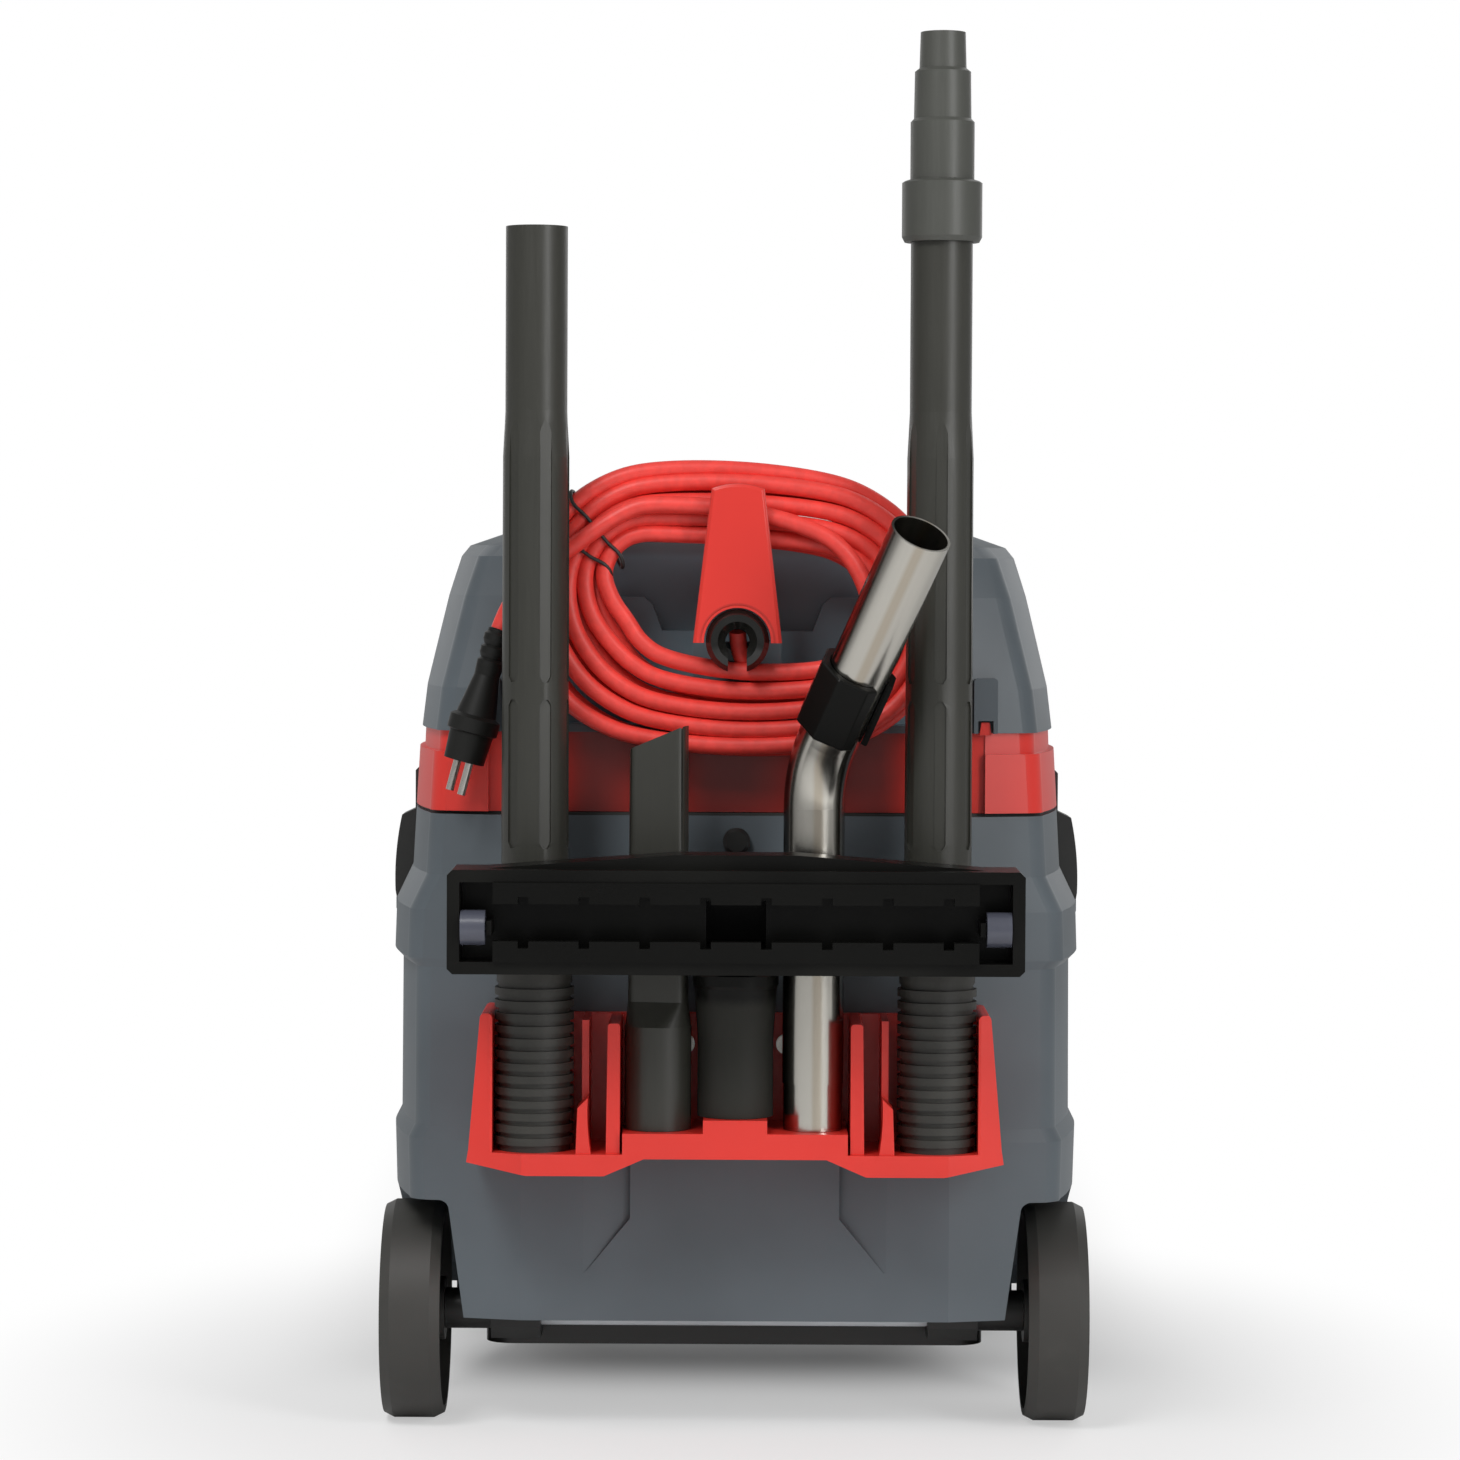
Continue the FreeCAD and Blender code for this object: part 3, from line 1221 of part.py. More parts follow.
def make_cord_hook():
    """Tongue that keeps the wound cord on its boss, notched over the grommet."""
    body = new_body("cord_hook")
    tongue = both_sides([
        ("hook_foot_half", "hook_foot"),
        ("hook_head_half", "hook_head", ("bow", "3")),
    ])
    pad(body, sketch(body, "XZ", tongue, offset="-rear_face+hook_reach"), "hook_thick")
    notch = ("circle", "0", "grommet_height", "grommet_radius+1")
    pocket(body, sketch(body, "XZ", notch, offset="-rear_face+hook_reach+hook_thick+1"), "hook_thick+2")
    boss = both_sides([
        ("hook_boss_half", "hook_boss_low"),
        ("hook_boss_half", "hook_boss_top-hook_boss_slope"),
        ("hook_boss_half-hook_boss_slope", "hook_boss_top"),
    ])
    boss = sketch(body, "XZ", boss, offset="-rear_face-bay_depth")
    pad(body, boss, "bay_depth+hook_reach+1")
    return body


def make_cord_grommet():
    """Thick black ring with a slot that lets the cord drop out of it."""
    body = new_body("cord_grommet")
    length = "(column_set_in+hook_reach+hook_thick)"
    turned(body, [
        ("cord_radius+2", "0"),
        ("grommet_radius-3", "0"),
        ("grommet_radius", "3"),
        ("grommet_radius", f"{length}-2"),
        ("grommet_radius-3", f"{length}+2"),
        ("grommet_radius-7", f"{length}+3"),
        ("cord_radius+2", f"{length}-1"),
    ])
    slot = box("-cord_radius-0.5", "cord_radius+0.5", "-grommet_radius-1", "0")
    pocket(body, sketch(body, "XY", slot, offset=f"{length}+3"), f"{length}+3-column_set_in")
    return place(body, 0, "rear_face+column_set_in", "grommet_height", FreeCAD.Vector(1, 0, 0), "90")


def oval(across, up, tight):
    """Four arcs that meet smoothly: half width, half height, radius of the tight ends."""
    wide = f"((({across}-{tight})^2+{up}^2-{tight}^2)/(2*({up}-{tight})))"
    slant = f"(({wide}-{up})/({wide}-{tight}))"
    level = f"(({across}-{tight})/({wide}-{tight}))"
    x = f"({across}-{tight}+{tight}*{level})"
    z = f"({tight}*{slant})"
    rise = f"({tight}*(1-{level}))"
    crown = f"({up}-{z})"
    return [
        (x, f"coil_height-{z}", ("bow", rise)),
        (x, f"coil_height+{z}", ("bow", crown)),
        (f"-{x}", f"coil_height+{z}", ("bow", rise)),
        (f"-{x}", f"coil_height-{z}", ("bow", crown)),
    ]


def make_cord_coil():
    """The wound cord's outer shape: an oval ring hung over the hook's boss."""
    body = new_body("cord_coil")
    outer = oval("coil_half_width", "coil_half_height", "coil_tight")
    inner = oval("coil_half_width-coil_band", "coil_half_height-coil_band", "coil_inner_tight")
    pad(body, sketch(body, "XZ", outer, inner, offset="-rear_face"), "coil_thick")
    dress(body, "Chamfer", "coil_round", lambda edge: True)
    return body


def rounded_route(points):
    """Straight runs joined by tangent arcs, each as large as its two runs allow."""
    spots = [FreeCAD.Vector(*(value(c) for c in point)) for point in points]
    edges, start = [], spots[0]
    for before, here, after in zip(spots, spots[1:], spots[2:]):
        back, on = before - here, after - here
        reach = 0.45 * min(back.Length, on.Length)
        turn = math.pi - back.getAngle(on)
        radius = reach / math.tan(turn / 2)
        print(f"cord bend radius {radius:.0f} mm")
        back.normalize()
        on.normalize()
        middle = here + (back + on).normalize() * (radius / math.cos(turn / 2) - radius)
        edges.append(Part.LineSegment(start, here + back * reach).toShape())
        edges.append(Part.Arc(here + back * reach, middle, here + on * reach).toShape())
        start = here + on * reach
    edges.append(Part.LineSegment(start, spots[-1]).toShape())
    return Part.Wire(edges)


def make_cord_run(name, points):
    """A stretch of the cord that isn't wound, along its route."""
    path = rounded_route(points)
    ends = [FreeCAD.Vector(*(value(c) for c in point)) for point in points[:2]]
    circle = Part.Circle(ends[0], ends[1] - ends[0], value("cord_radius"))
    tube = path.makePipeShell([Part.Wire(circle.toShape())], True, True)
    print(f"{name}: length {path.Length:.1f} mm, volume ratio "
          f"{tube.Volume / (path.Length * math.pi * value('cord_radius') ** 2):.4f}")
    run = doc.addObject("Part::Feature", name)
    run.Label = name
    run.Shape = tube
    return run


def make_cord_tail():
    return make_cord_run("cord_tail", [
        ("0", "coil_y", "grommet_height+2"),
        ("0", "coil_y", "coil_height-coil_half_height+coil_band"),
    ])


def make_plug_lead():
    return make_cord_run("plug_lead", [
        ("-coil_half_width+16.5", "coil_y", "coil_height+46"),
        ("-coil_half_width+3", "coil_y-1", "coil_height+27"),
        ("-coil_half_width-6", "coil_y-3", "coil_height+7"),
        ("plug_x", "plug_y", "plug_z"),
    ])


def make_plug():
    """Round mains plug with a ribbed strain relief, hanging pins down."""
    body = new_body("plug")
    relief = "plug_relief_length"
    profile = [("0", "0"), ("cord_radius+1.5", "0")]
    for rib in range(3):
        low = f"2+{rib}*8"
        profile += [("cord_radius+1.5", low), ("cord_radius+3", f"{low}+1.5"),
                    ("cord_radius+3", f"{low}+5")]
    profile += [
        ("cord_radius+2.5", relief),
        ("plug_radius-2", f"{relief}+24"),
        ("plug_radius+1", f"{relief}+26"),
        ("plug_radius+1", f"{relief}+34"),
        ("plug_radius-1", f"{relief}+35"),
        ("plug_radius-2", f"{relief}+52"),
        ("0", f"{relief}+52"),
    ]
    turned(body, profile)
    return place(body, "plug_x", "plug_y", "plug_z", FreeCAD.Vector(0, 1, 0), "180+plug_tilt")


def make_plug_pins():
    body = new_body("plug_pins")
    for side in (-1, 1):
        reach = f"{side}*plug_pin_spacing/2"
        pin = ("circle", f"{reach}*cos(plug_turn)", f"{reach}*sin(plug_turn)", "plug_pin_radius")
        pad(body, sketch(body, "XY", pin, offset="plug_relief_length+52"), "plug_pin_length")
    return place(body, "plug_x", "plug_y", "plug_z", FreeCAD.Vector(0, 1, 0), "180+plug_tilt")


def make_cord_ties():
    """Two wire ties round the left of the coil."""
    body = new_body("cord_ties")
    for low in ("coil_height-4", "coil_height-16"):
        outer = box("-coil_half_width-tie_thick", "-coil_half_width+coil_band+tie_slack+tie_thick",
                    "rear_face-coil_thick-tie_thick", "rear_face+tie_thick")
        inner = box("-coil_half_width-0.1", "-coil_half_width+coil_band+tie_slack",
                    "rear_face-coil_thick-0.1", "rear_face+0.1")
        pad(body, sketch(body, "XY", outer, inner, offset=low), "tie_width")
    return body


# ---------------------------------------------------------------- inside the head


def make_fan_housing():
    """Cup over the inlet, with side ports that let the air out."""
    body = new_body("fan_housing")
    height, radius = "fan_height", "fan_radius+fan_wall"
    turned(body, [
        ("fan_radius", "0"), (radius, "0"), (radius, f"{height}-6"), (f"{radius}-6", height),
        ("shaft_radius+shaft_gap", height), ("shaft_radius+shaft_gap", f"{height}-fan_wall"),
        ("fan_radius-6", f"{height}-fan_wall"), ("fan_radius", f"{height}-8"),
    ])
    port = box("-12", "12", "8", f"{height}-12")
    port = pocket(body, sketch(body, "XZ", port), "fan_radius+20")
    around(body, [port], "6")
    return place(body, 0, "motor_y", "deck_low+deck_thick")


def make_motor_body():
    body = new_body("motor_body")
    turned(body, [
        ("shaft_radius+shaft_gap", "0"), ("motor_radius-8", "0"), ("motor_radius", "8"),
        ("motor_radius", "motor_height-14"), ("motor_radius-14", "motor_height"),
        ("shaft_radius+shaft_gap", "motor_height"),
    ])
    return place(body, 0, "motor_y", "deck_low+deck_thick+fan_height")


def make_motor_shaft():
    body = new_body("motor_shaft")
    pad(body, sketch(body, "XY", ("circle", "0", "0", "shaft_radius")), "fan_height+motor_height-5")
    return place(body, 0, "motor_y", "deck_low+deck_thick+4")


def make_impeller():
    """Disc with backward-leaning blades under it."""
    body = new_body("impeller")
    disc = sketch(body, "XY", ("circle", "0", "0", "fan_radius-fan_gap"),
                  ("circle", "0", "0", "shaft_radius"), offset="impeller_height-2")
    pad(body, disc, "2")
    hub = sketch(body, "XY", ("circle", "0", "0", "shaft_radius+6"), ("circle", "0", "0", "shaft_radius"))
    pad(body, hub, "impeller_height-1")
    blade = [
        ("shaft_radius+5", "-1"),
        ("fan_radius-fan_gap-6", "14"),
        ("fan_radius-fan_gap-7", "16.5"),
        ("shaft_radius+5", "1.5"),
    ]
    blade = pad(body, sketch(body, "XY", blade, offset="2"), "impeller_height-3")
    around(body, [blade], "blade_count")
    return place(body, 0, "motor_y", "deck_low+deck_thick+6")


def make_filter_cage():
    """Cage below the deck that holds the cartridge: two rings on six bars."""
    body = new_body("filter_cage")
    ring = ("circle", "0", "0", "cage_radius"), ("circle", "0", "0", "cage_radius-cage_wall")
    pad(body, sketch(body, "XY", *ring, offset="-6"), "6")
    pad(body, sketch(body, "XY", ("circle", "0", "0", "cage_radius"), offset="-cage_length"), "4")
    bar = box("cage_radius-cage_wall", "cage_radius-0.2", "-4", "4")
    bar = pad(body, sketch(body, "XY", bar, offset="-cage_length+1"), "cage_length-2")
    around(body, [bar], "6")
    return place(body, 0, "motor_y", "deck_low")


def make_filter_cartridge():
    """Pleated cylinder sleeved over the cage."""
    body = new_body("filter_cartridge")
    bore = ("circle", "0", "0", "cage_radius+0.3")
    pad(body, sketch(body, "XY", ("circle", "0", "0", "pleat_root"), bore), "filter_length")
    pleat = [
        ("pleat_root-2", "-pleat_width/2"),
        ("filter_radius", "-0.7"),
        ("filter_radius", "0.7"),
        ("pleat_root-2", "pleat_width/2"),
    ]
    pleat = pad(body, sketch(body, "XY", pleat, offset="8"), "filter_length-16")
    around(body, [pleat], "pleat_count")
    for low in ("0", "filter_length-8"):
        cap = ("circle", "0", "0", "filter_radius+2"), bore
        pad(body, sketch(body, "XY", *cap, offset=low), "8")
    return place(body, 0, "motor_y", "deck_low-filter_length-0.5")


# ---------------------------------------------------------------- controls and handle


def make_knob(name, x, radius):
    """Grip with a pointer rib, on a stem that turns in the hood's boss."""
    body = new_body(name)
    turned(body, [
        ("0", "-14"), ("knob_stem", "-14"), ("knob_stem", "knob_lift"), (radius, "knob_lift"),
        (radius, "knob_lift+7"), (f"{radius}-3", "knob_lift+9"), ("0", "knob_lift+9"),
    ])
    rib = box(f"-{radius}+3", f"{radius}-3", "-3", "3")
    pad(body, sketch(body, "XY", rib, offset="knob_lift+8"), "6")
    return place(body, x, "knob_face", "knob_height", FreeCAD.Vector(1, 0, 0), "-90")


def make_carry_handle():
    """Fixed bar across the finger recess in the top of the hood."""
    body = new_body("carry_handle")
    bar = both_sides([
        ("grip_half-14", "hood_top+grip_rise-grip_thick"),
        ("grip_half-2", "hood_top"),
        ("grip_half+8", "hood_top"),
        ("grip_half", "hood_top+grip_rise-1"),
        ("grip_half-20", "hood_top+grip_rise", ("bow", "1")),
    ])
    pad(body, sketch(body, "XZ", bar, offset="-grip_y-grip_bar/2"), "grip_bar")
    return body


def make_outlet():
    """Round mains outlet for a power tool, sunk in a square frame on the head's front."""
    body = new_body("tool_socket")
    half = "outlet_half"
    frame = [(x, y, ("round", "6")) for x, y in box(f"-{half}", half, f"-{half}", half)]
    pad(body, sketch(body, "XY", frame, offset="-16"), "16")
    pocket(body, sketch(body, "XY", ("circle", "0", "0", "outlet_bore")), "12")
    holes = [("circle", f"{side}*plug_pin_spacing/2", "0", "plug_pin_radius+0.4") for side in (-1, 1)]
    pocket(body, sketch(body, "XY", *holes, offset="-11"), "4")
    return place(body, 0, "knob_face", "outlet_height", FreeCAD.Vector(1, 0, 0), "-90")


def make_outlet_lid():
    body = new_body("socket_lid")
    half = "outlet_half"
    cover = [(x, y, ("round", "6")) for x, y in box(f"-{half}", half, f"-{half}", half)]
    pad(body, sketch(body, "XY", cover, offset="lid_gap"), "3")
    neck = box("-lid_half", "lid_half", f"-({LID_HINGE})", f"-{half}+1")
    pad(body, sketch(body, "XY", neck, offset="lid_gap"), "3")
    for radius, reach in (("lid_barrel", "lid_half"), ("lid_pin", "lid_half+4.5")):
        bar = sketch(body, "YZ", ("circle", f"-({LID_HINGE})", "lid_gap+lid_barrel", radius),
                     offset=f"-({reach})")
        pad(body, bar, f"2*({reach})")
    return place(body, 0, "knob_face", "outlet_height", FreeCAD.Vector(1, 0, 0), "-90")


def make_hose_inlet():
    """Port on the tank's front that the suction hose plugs into."""
    body = new_body("hose_inlet")
    turned(body, [
        ("inlet_bore", "-inlet_depth"), ("inlet_bore+3", "-inlet_depth"), ("inlet_bore+3", "0"),
        ("inlet_flange", "0"), ("inlet_flange", "4"), ("inlet_bore+5", "6"),
        ("inlet_bore+5", "inlet_lip"), ("inlet_bore", "inlet_lip"),
    ])
    return place(body, 0, "inlet_face", "inlet_height", FreeCAD.Vector(1, 0, 0), "-90")


# ---------------------------------------------------------------- parked tools


def make_extension_tube(name, side, phase):
    """Plastic suction tube with two rows of long finger grooves."""
    body = new_body(name)
    foot, top = "tube_end_radius", "tube_top_radius"
    turned(body, [
        (f"{foot}-tube_wall", "0"), (foot, "0"), (f"{foot}-0.6", "tube_length*0.75"),
        (top, "tube_length*0.8"), (top, "tube_length"), (f"{top}-tube_wall", "tube_length"),
        (f"{top}-tube_wall", "tube_length*0.8"), (f"{foot}-tube_wall", "tube_length*0.7"),
    ])
    grooves = []
    for low, high in (("groove_low", "groove_middle-5"), ("groove_middle+5", "groove_high")):
        end = "groove_width/2"
        slot = [
            (f"-{end}+2", low), (f"{end}-2", low), (end, f"{low}+{end}"), (end, f"{high}-{end}"),
            (f"{end}-2", high), (f"-{end}+2", high), (f"-{end}", f"{high}-{end}"), (f"-{end}", f"{low}+{end}"),
        ]
        groove = pocket(body, sketch(body, "XZ", slot, offset=f"{foot}+2"), "2+groove_depth+0.6")
        grooves.append(groove)
    around(body, grooves, "6")
    return place(body, f"{side}*tube_spacing/2", "tool_row", "tube_foot", UP, phase)


def make_step_adaptor():
    """Stepped power-tool adaptor pushed on the right tube."""
    body = new_body("step_adaptor")
    inner = "tube_top_radius+adaptor_gap"
    turned(body, [
        (inner, "0"), ("adaptor_radius-1.5", "0"), ("adaptor_radius", "3"), ("adaptor_radius", "34"),
        ("adaptor_radius-1.5", "35"), ("adaptor_step_3", "36"), ("adaptor_step_3", "69"),
        ("adaptor_step_2+0.4", "71"), ("adaptor_step_2", "98"), ("adaptor_step_1+0.6", "100"),
        ("adaptor_step_1", "adaptor_height"), ("adaptor_step_1-2", "adaptor_height"),
        ("adaptor_step_1-2", "98"), ("adaptor_step_2-2.4", "96"), ("adaptor_step_2-2.4", "69"),
        ("adaptor_step_3-2.6", "67"), ("adaptor_step_3-2.6", "adaptor_grip+0.3"),
        (inner, "adaptor_grip+0.3"),
    ])
    window = box("-3.5", "3.5", "54", "61")
    pocket(body, sketch(body, "XZ", window), "adaptor_radius")
    return place(body, "tube_spacing/2", "tool_row", "tube_foot+tube_length-adaptor_grip")


def make_crevice_nozzle():
    """Round at the foot, drawn out to a flat slot that is cut off at a slant."""
    body = new_body("crevice_nozzle")

    def section(level, across, deep, bend, inset):
        half, thick = f"({across}-{inset})", f"({deep}-{inset})"
        corners = [(x, y, ("round", f"{bend}-{inset}"))
                   for x, y in box(f"-{half}", half, f"-{thick}", thick)]
        return sketch(body, "XY", corners, offset=level)

    pad(body, sketch(body, "XY", ("circle", "0", "0", "crevice_radius")), "crevice_shoulder")
    loft(body, [
        section("crevice_shoulder", "crevice_radius-0.5", "crevice_radius-0.5", "crevice_radius-2", "0"),
        section("crevice_shoulder+14", "crevice_across", "crevice_deep", "crevice_bend", "0"),
        section("crevice_length", "crevice_across-0.5", "crevice_deep-0.5", "crevice_bend", "0"),
    ])
    across, deep = "(crevice_across-crevice_wall)", "(crevice_deep-crevice_wall)"
    slot = sketch(body, "XY", box(f"-{across}", across, f"-{deep}", deep), offset="crevice_length+1")
    pocket(body, slot, "crevice_length-crevice_shoulder+10")
    bore = ("circle", "0", "0", "crevice_bore")
    pocket(body, sketch(body, "XY", bore, offset="crevice_shoulder-4"), "crevice_shoulder")
    tip = [
        ("-crevice_across-2", "crevice_length-crevice_slant"),
        ("crevice_across+2", "crevice_length"),
        ("crevice_across+2", "crevice_length+20"),
        ("-crevice_across-2", "crevice_length+20"),
    ]
    pocket(body, sketch(body, "XZ", tip, offset="crevice_radius+1"), "2*crevice_radius+2")
    return place(body, "-tool_spacing/2", "tool_row", "tool_floor+seat_gap", UP, "crevice_turn")


def make_floor_nozzle():
    """Wide mouth facing back, a duct behind it and a neck that stands in the holder."""
    body = new_body("floor_nozzle")
    top = "mouth_low+mouth_height"
    outline = both_sides([
        ("mouth_half-mouth_corner", "mouth_low"),
        ("mouth_half", "mouth_low+mouth_corner"),
        ("mouth_half", f"{top}-mouth_corner"),
        ("mouth_half-mouth_corner", top),
    ])
    pad(body, sketch(body, "XZ", outline, offset="mouth_reach-mouth_deep"), "mouth_deep")
    hump = both_sides([("mouth_half-mouth_arch", f"{top}-1"), ("mouth_hump_half", f"{top}+mouth_arch")])
    pad(body, sketch(body, "XZ", hump, offset="mouth_reach-mouth_deep"), "mouth_deep-mouth_frame")
    duct = [
        ("-mouth_reach+mouth_deep-1", "mouth_low+8"),
        ("-neck_radius", "mouth_low-6"),
        ("neck_radius-1", "mouth_low-6", ("bow", "4")),
        ("neck_radius-4", "mouth_low+26"),
        ("-4", "mouth_low+50"),
        ("-mouth_reach+mouth_deep-1", "mouth_low+mouth_height-4"),
    ]
    pad(body, sketch(body, "YZ", duct, offset="-duct_half"), "2*duct_half")
    turned(body, [
        ("0", "0"), ("neck_radius", "0"), ("neck_radius", "neck_cone_low"),
        ("neck_cone_radius", "mouth_low-14"), ("neck_flange_radius", "mouth_low-12"),
        ("neck_flange_radius", "mouth_low-6"), ("neck_radius-1", "mouth_low-4"), ("0", "mouth_low-4"),
    ])
    # hollow: neck bore, elbow and mouth
    bore = ("circle", "0", "0", "neck_radius-nozzle_wall")
    pocket(body, sketch(body, "XY", bore, offset="mouth_low+12"), "mouth_low+13")
    throat = box("-duct_half+nozzle_wall", "duct_half-nozzle_wall", "mouth_low+12", "mouth_low+40")
    pocket(body, sketch(body, "XZ", throat, offset="mouth_reach"), "mouth_reach+2")
    mouth = box("-mouth_half+mouth_rim", "mouth_half-mouth_rim",
                "mouth_low+mouth_rim", "mouth_low+mouth_height-mouth_rim")
    pocket(body, sketch(body, "XZ", mouth, offset="mouth_reach+1"), "mouth_hollow+1")
    # stub pins that carry the rollers
    pin = ("circle", "-mouth_reach+roller_set_in", "roller_height", "roller_pin")
    pin = sketch(body, "YZ", pin, offset="mouth_half-mouth_rim-roller_width-2*roller_gap-1")
    pin = pad(body, pin, "roller_width+2*roller_gap+2")
    stay = box("-mouth_reach+roller_set_in-3", "-mouth_reach+mouth_hollow+0.5",
               "roller_height-4", "roller_height+4")
    stay = sketch(body, "YZ", stay, offset="mouth_half-mouth_rim-roller_width-2*roller_gap-3")
    stay = pad(body, stay, "3")
    mirrored(body, [pin, stay])
    return place(body, 0, "tool_row", "neck_floor+seat_gap")


def make_nozzle_roller(name, side):
    body = new_body(name)
    ring = ("circle", "0", "0", "roller_radius"), ("circle", "0", "0", "roller_pin+running_gap")
    pad(body, sketch(body, "XY", *ring, offset="-roller_width/2"), "roller_width")
    return place(body, f"{side}*(mouth_half-mouth_rim-roller_gap-roller_width/2)",
                 "tool_row-mouth_reach+roller_set_in", "neck_floor+seat_gap+roller_height",
                 FreeCAD.Vector(0, 1, 0), "90")


def make_nozzle_lips():
    """Two rubber strips along the mouth, each with notches that let air in."""
    body = new_body("nozzle_lips")
    half = "(mouth_half-mouth_rim-roller_width-2*roller_gap-4)"
    low, high = "mouth_low+mouth_rim", "mouth_low+mouth_height-mouth_rim"
    pads = []
    for base, edge in ((low, f"{low}+lip_height"), (high, f"{high}-lip_height")):
        rise = "+" if base is low else "-"
        strip = [(f"-{half}", base), (half, base), (half, edge)]
        for notch in reversed(range(8)):
            middle = f"{half}*({2 * notch + 1}/8-1)"
            strip += [(f"{middle}+3", edge), (f"{middle}+3", f"{edge}{'-' if rise == '+' else '+'}4"),
                      (f"{middle}-3", f"{edge}{'-' if rise == '+' else '+'}4"), (f"{middle}-3", edge)]
        strip.append((f"-{half}", edge))
        if base is high:
            strip.reverse()
        pads.append(sketch(body, "XZ", strip, offset="mouth_reach-6"))
    for strip in pads:
        pad(body, strip, "6+lip_proud")
    return place(body, 0, "tool_row", "neck_floor+seat_gap")


def make_hand_tube():
    """Bent steel hand tube, hollow, its foot drawn in."""
    body = new_body("hand_tube")
    knee = "hand_tube_knee-hand_tube_bend*tan(hand_tube_lean/2)"
    reach = "(hand_tube_length-hand_tube_bend*tan(hand_tube_lean/2))"
    points = [
        ("0", "0"),
        ("0", knee, ("bow", "-hand_tube_bend*(1-cos(hand_tube_lean/2))")),
        ("hand_tube_bend*(1-cos(hand_tube_lean))", f"{knee}+hand_tube_bend*sin(hand_tube_lean)"),
        (f"hand_tube_bend*(1-cos(hand_tube_lean))+{reach}*sin(hand_tube_lean)",
         f"{knee}+hand_tube_bend*sin(hand_tube_lean)+{reach}*cos(hand_tube_lean)"),
    ]
    spine = Outline(body, "XZ").chain(points).sketch
    ring = sketch(body, "XY", ("circle", "0", "0", "hand_tube_radius"),
                  ("circle", "0", "0", "hand_tube_radius-hand_tube_wall"))
    pipe = body.newObject("PartDesign::AdditivePipe", "hand_tube_pipe")
    pipe.Profile = ring
    pipe.Spine = (spine, ["Edge1", "Edge2", "Edge3"])
    draw = ("circle", "0", "0", "hand_tube_radius+2"), ("circle", "0", "0", "hand_tube_radius-0.6")
    pocket(body, sketch(body, "XY", *draw, offset="hand_tube_swage"), "hand_tube_swage+1")
    return place(body, "tool_spacing/2", "tool_row", "tool_floor+seat_gap", UP, "hand_tube_turn")


def make_air_slider():
    """Sleeve open along one side, turned on the hand tube to let air in."""
    body = new_body("air_slider")
    inner, outer = "hand_tube_radius+slider_gap", "slider_radius"
    profile = sketch(body, "XZ", [
        (inner, "0"), (outer, "0"), (outer, "slider_length"), (inner, "slider_length")])
    sleeve = feature(body, "Revolution", profile, Angle="slider_wrap", Midplane=True)
    sleeve.ReferenceAxis = (profile, ["V_Axis"])
    turn, lean = value("hand_tube_turn"), value("hand_tube_lean")
    tilt = FreeCAD.Rotation(UP, turn) * FreeCAD.Rotation(FreeCAD.Vector(0, 1, 0), lean)
    body.Placement = FreeCAD.Placement(
        FreeCAD.Vector(), tilt * FreeCAD.Rotation(UP, value("slider_turn")))
    bind(body, "Placement.Base.x",
         "tool_spacing/2+slider_place*sin(hand_tube_lean)*cos(hand_tube_turn)")
    bind(body, "Placement.Base.y", "tool_row+slider_place*sin(hand_tube_lean)*sin(hand_tube_turn)")
    bind(body, "Placement.Base.z",
         "tool_floor+seat_gap+hand_tube_knee+slider_place*cos(hand_tube_lean)")
    return body


LEFT, RIGHT = -1, 1
pieces = [
    make_tank_shell(), make_tank_seal(), make_rear_button(), make_hose_inlet(),
    make_tool_holder(), make_holder_screws(),
    make_sleeve("left_sleeve", LEFT), make_sleeve("right_sleeve", RIGHT),
    make_chassis_frame(), make_rear_axle(), make_latch_pins(),
    make_head_ring(), make_motor_deck(), make_hood(), make_carry_handle(),
    make_cord_hook(), make_cord_grommet(), make_cord_coil(), make_cord_tail(),
    make_plug_lead(), make_plug(), make_plug_pins(), make_cord_ties(),
    make_fan_housing(), make_motor_body(), make_motor_shaft(), make_impeller(),
    make_filter_cage(), make_filter_cartridge(),
    make_knob("switch_knob", "-knob_spacing/2", "switch_radius"),
    make_knob("suction_knob", "knob_spacing/2", "knob_radius"),
    make_outlet(), make_outlet_lid(),
    make_extension_tube("left_tube", LEFT, "left_tube_turn"),
    make_extension_tube("right_tube", RIGHT, "right_tube_turn"),
    make_step_adaptor(), make_crevice_nozzle(), make_floor_nozzle(), make_nozzle_lips(),
    make_hand_tube(), make_air_slider(),
]
for word, side in (("left", LEFT), ("right", RIGHT)):
    pieces += [
        make_axle_bracket(f"{word}_axle_bracket", side),
        make_axle_cap(f"{word}_axle_cap", side),
        make_rear_wheel(f"{word}_rear_wheel", side),
        make_caster_fork(f"{word}_caster_fork", side),
        make_caster_pin(f"{word}_caster_pin", side),
        make_caster_wheel(f"{word}_caster_wheel", side),
        make_latch(f"{word}_latch", side),
        make_nozzle_roller(f"{word}_nozzle_roller", side),
    ]
doc.recompute()

faults = [f"{item.Label}: {item.State}" for item in doc.Objects
          if any(word in item.State for word in ("Invalid", "Error"))]
for piece in pieces:
    if piece.Shape.isNull() or not piece.Shape.isValid() or not piece.Shape.Solids:
        faults.append(f"{piece.Label}: no valid solid")
if faults:
    raise SystemExit("\n".join(faults))

os.makedirs("parts", exist_ok=True)
for piece in pieces:
    piece.Shape.exportStep(f"parts/{piece.Label}.step")
print(f"{len(pieces)} pieces written")
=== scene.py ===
import json
import math

import bpy
import numpy as np
from mathutils import Matrix, Vector


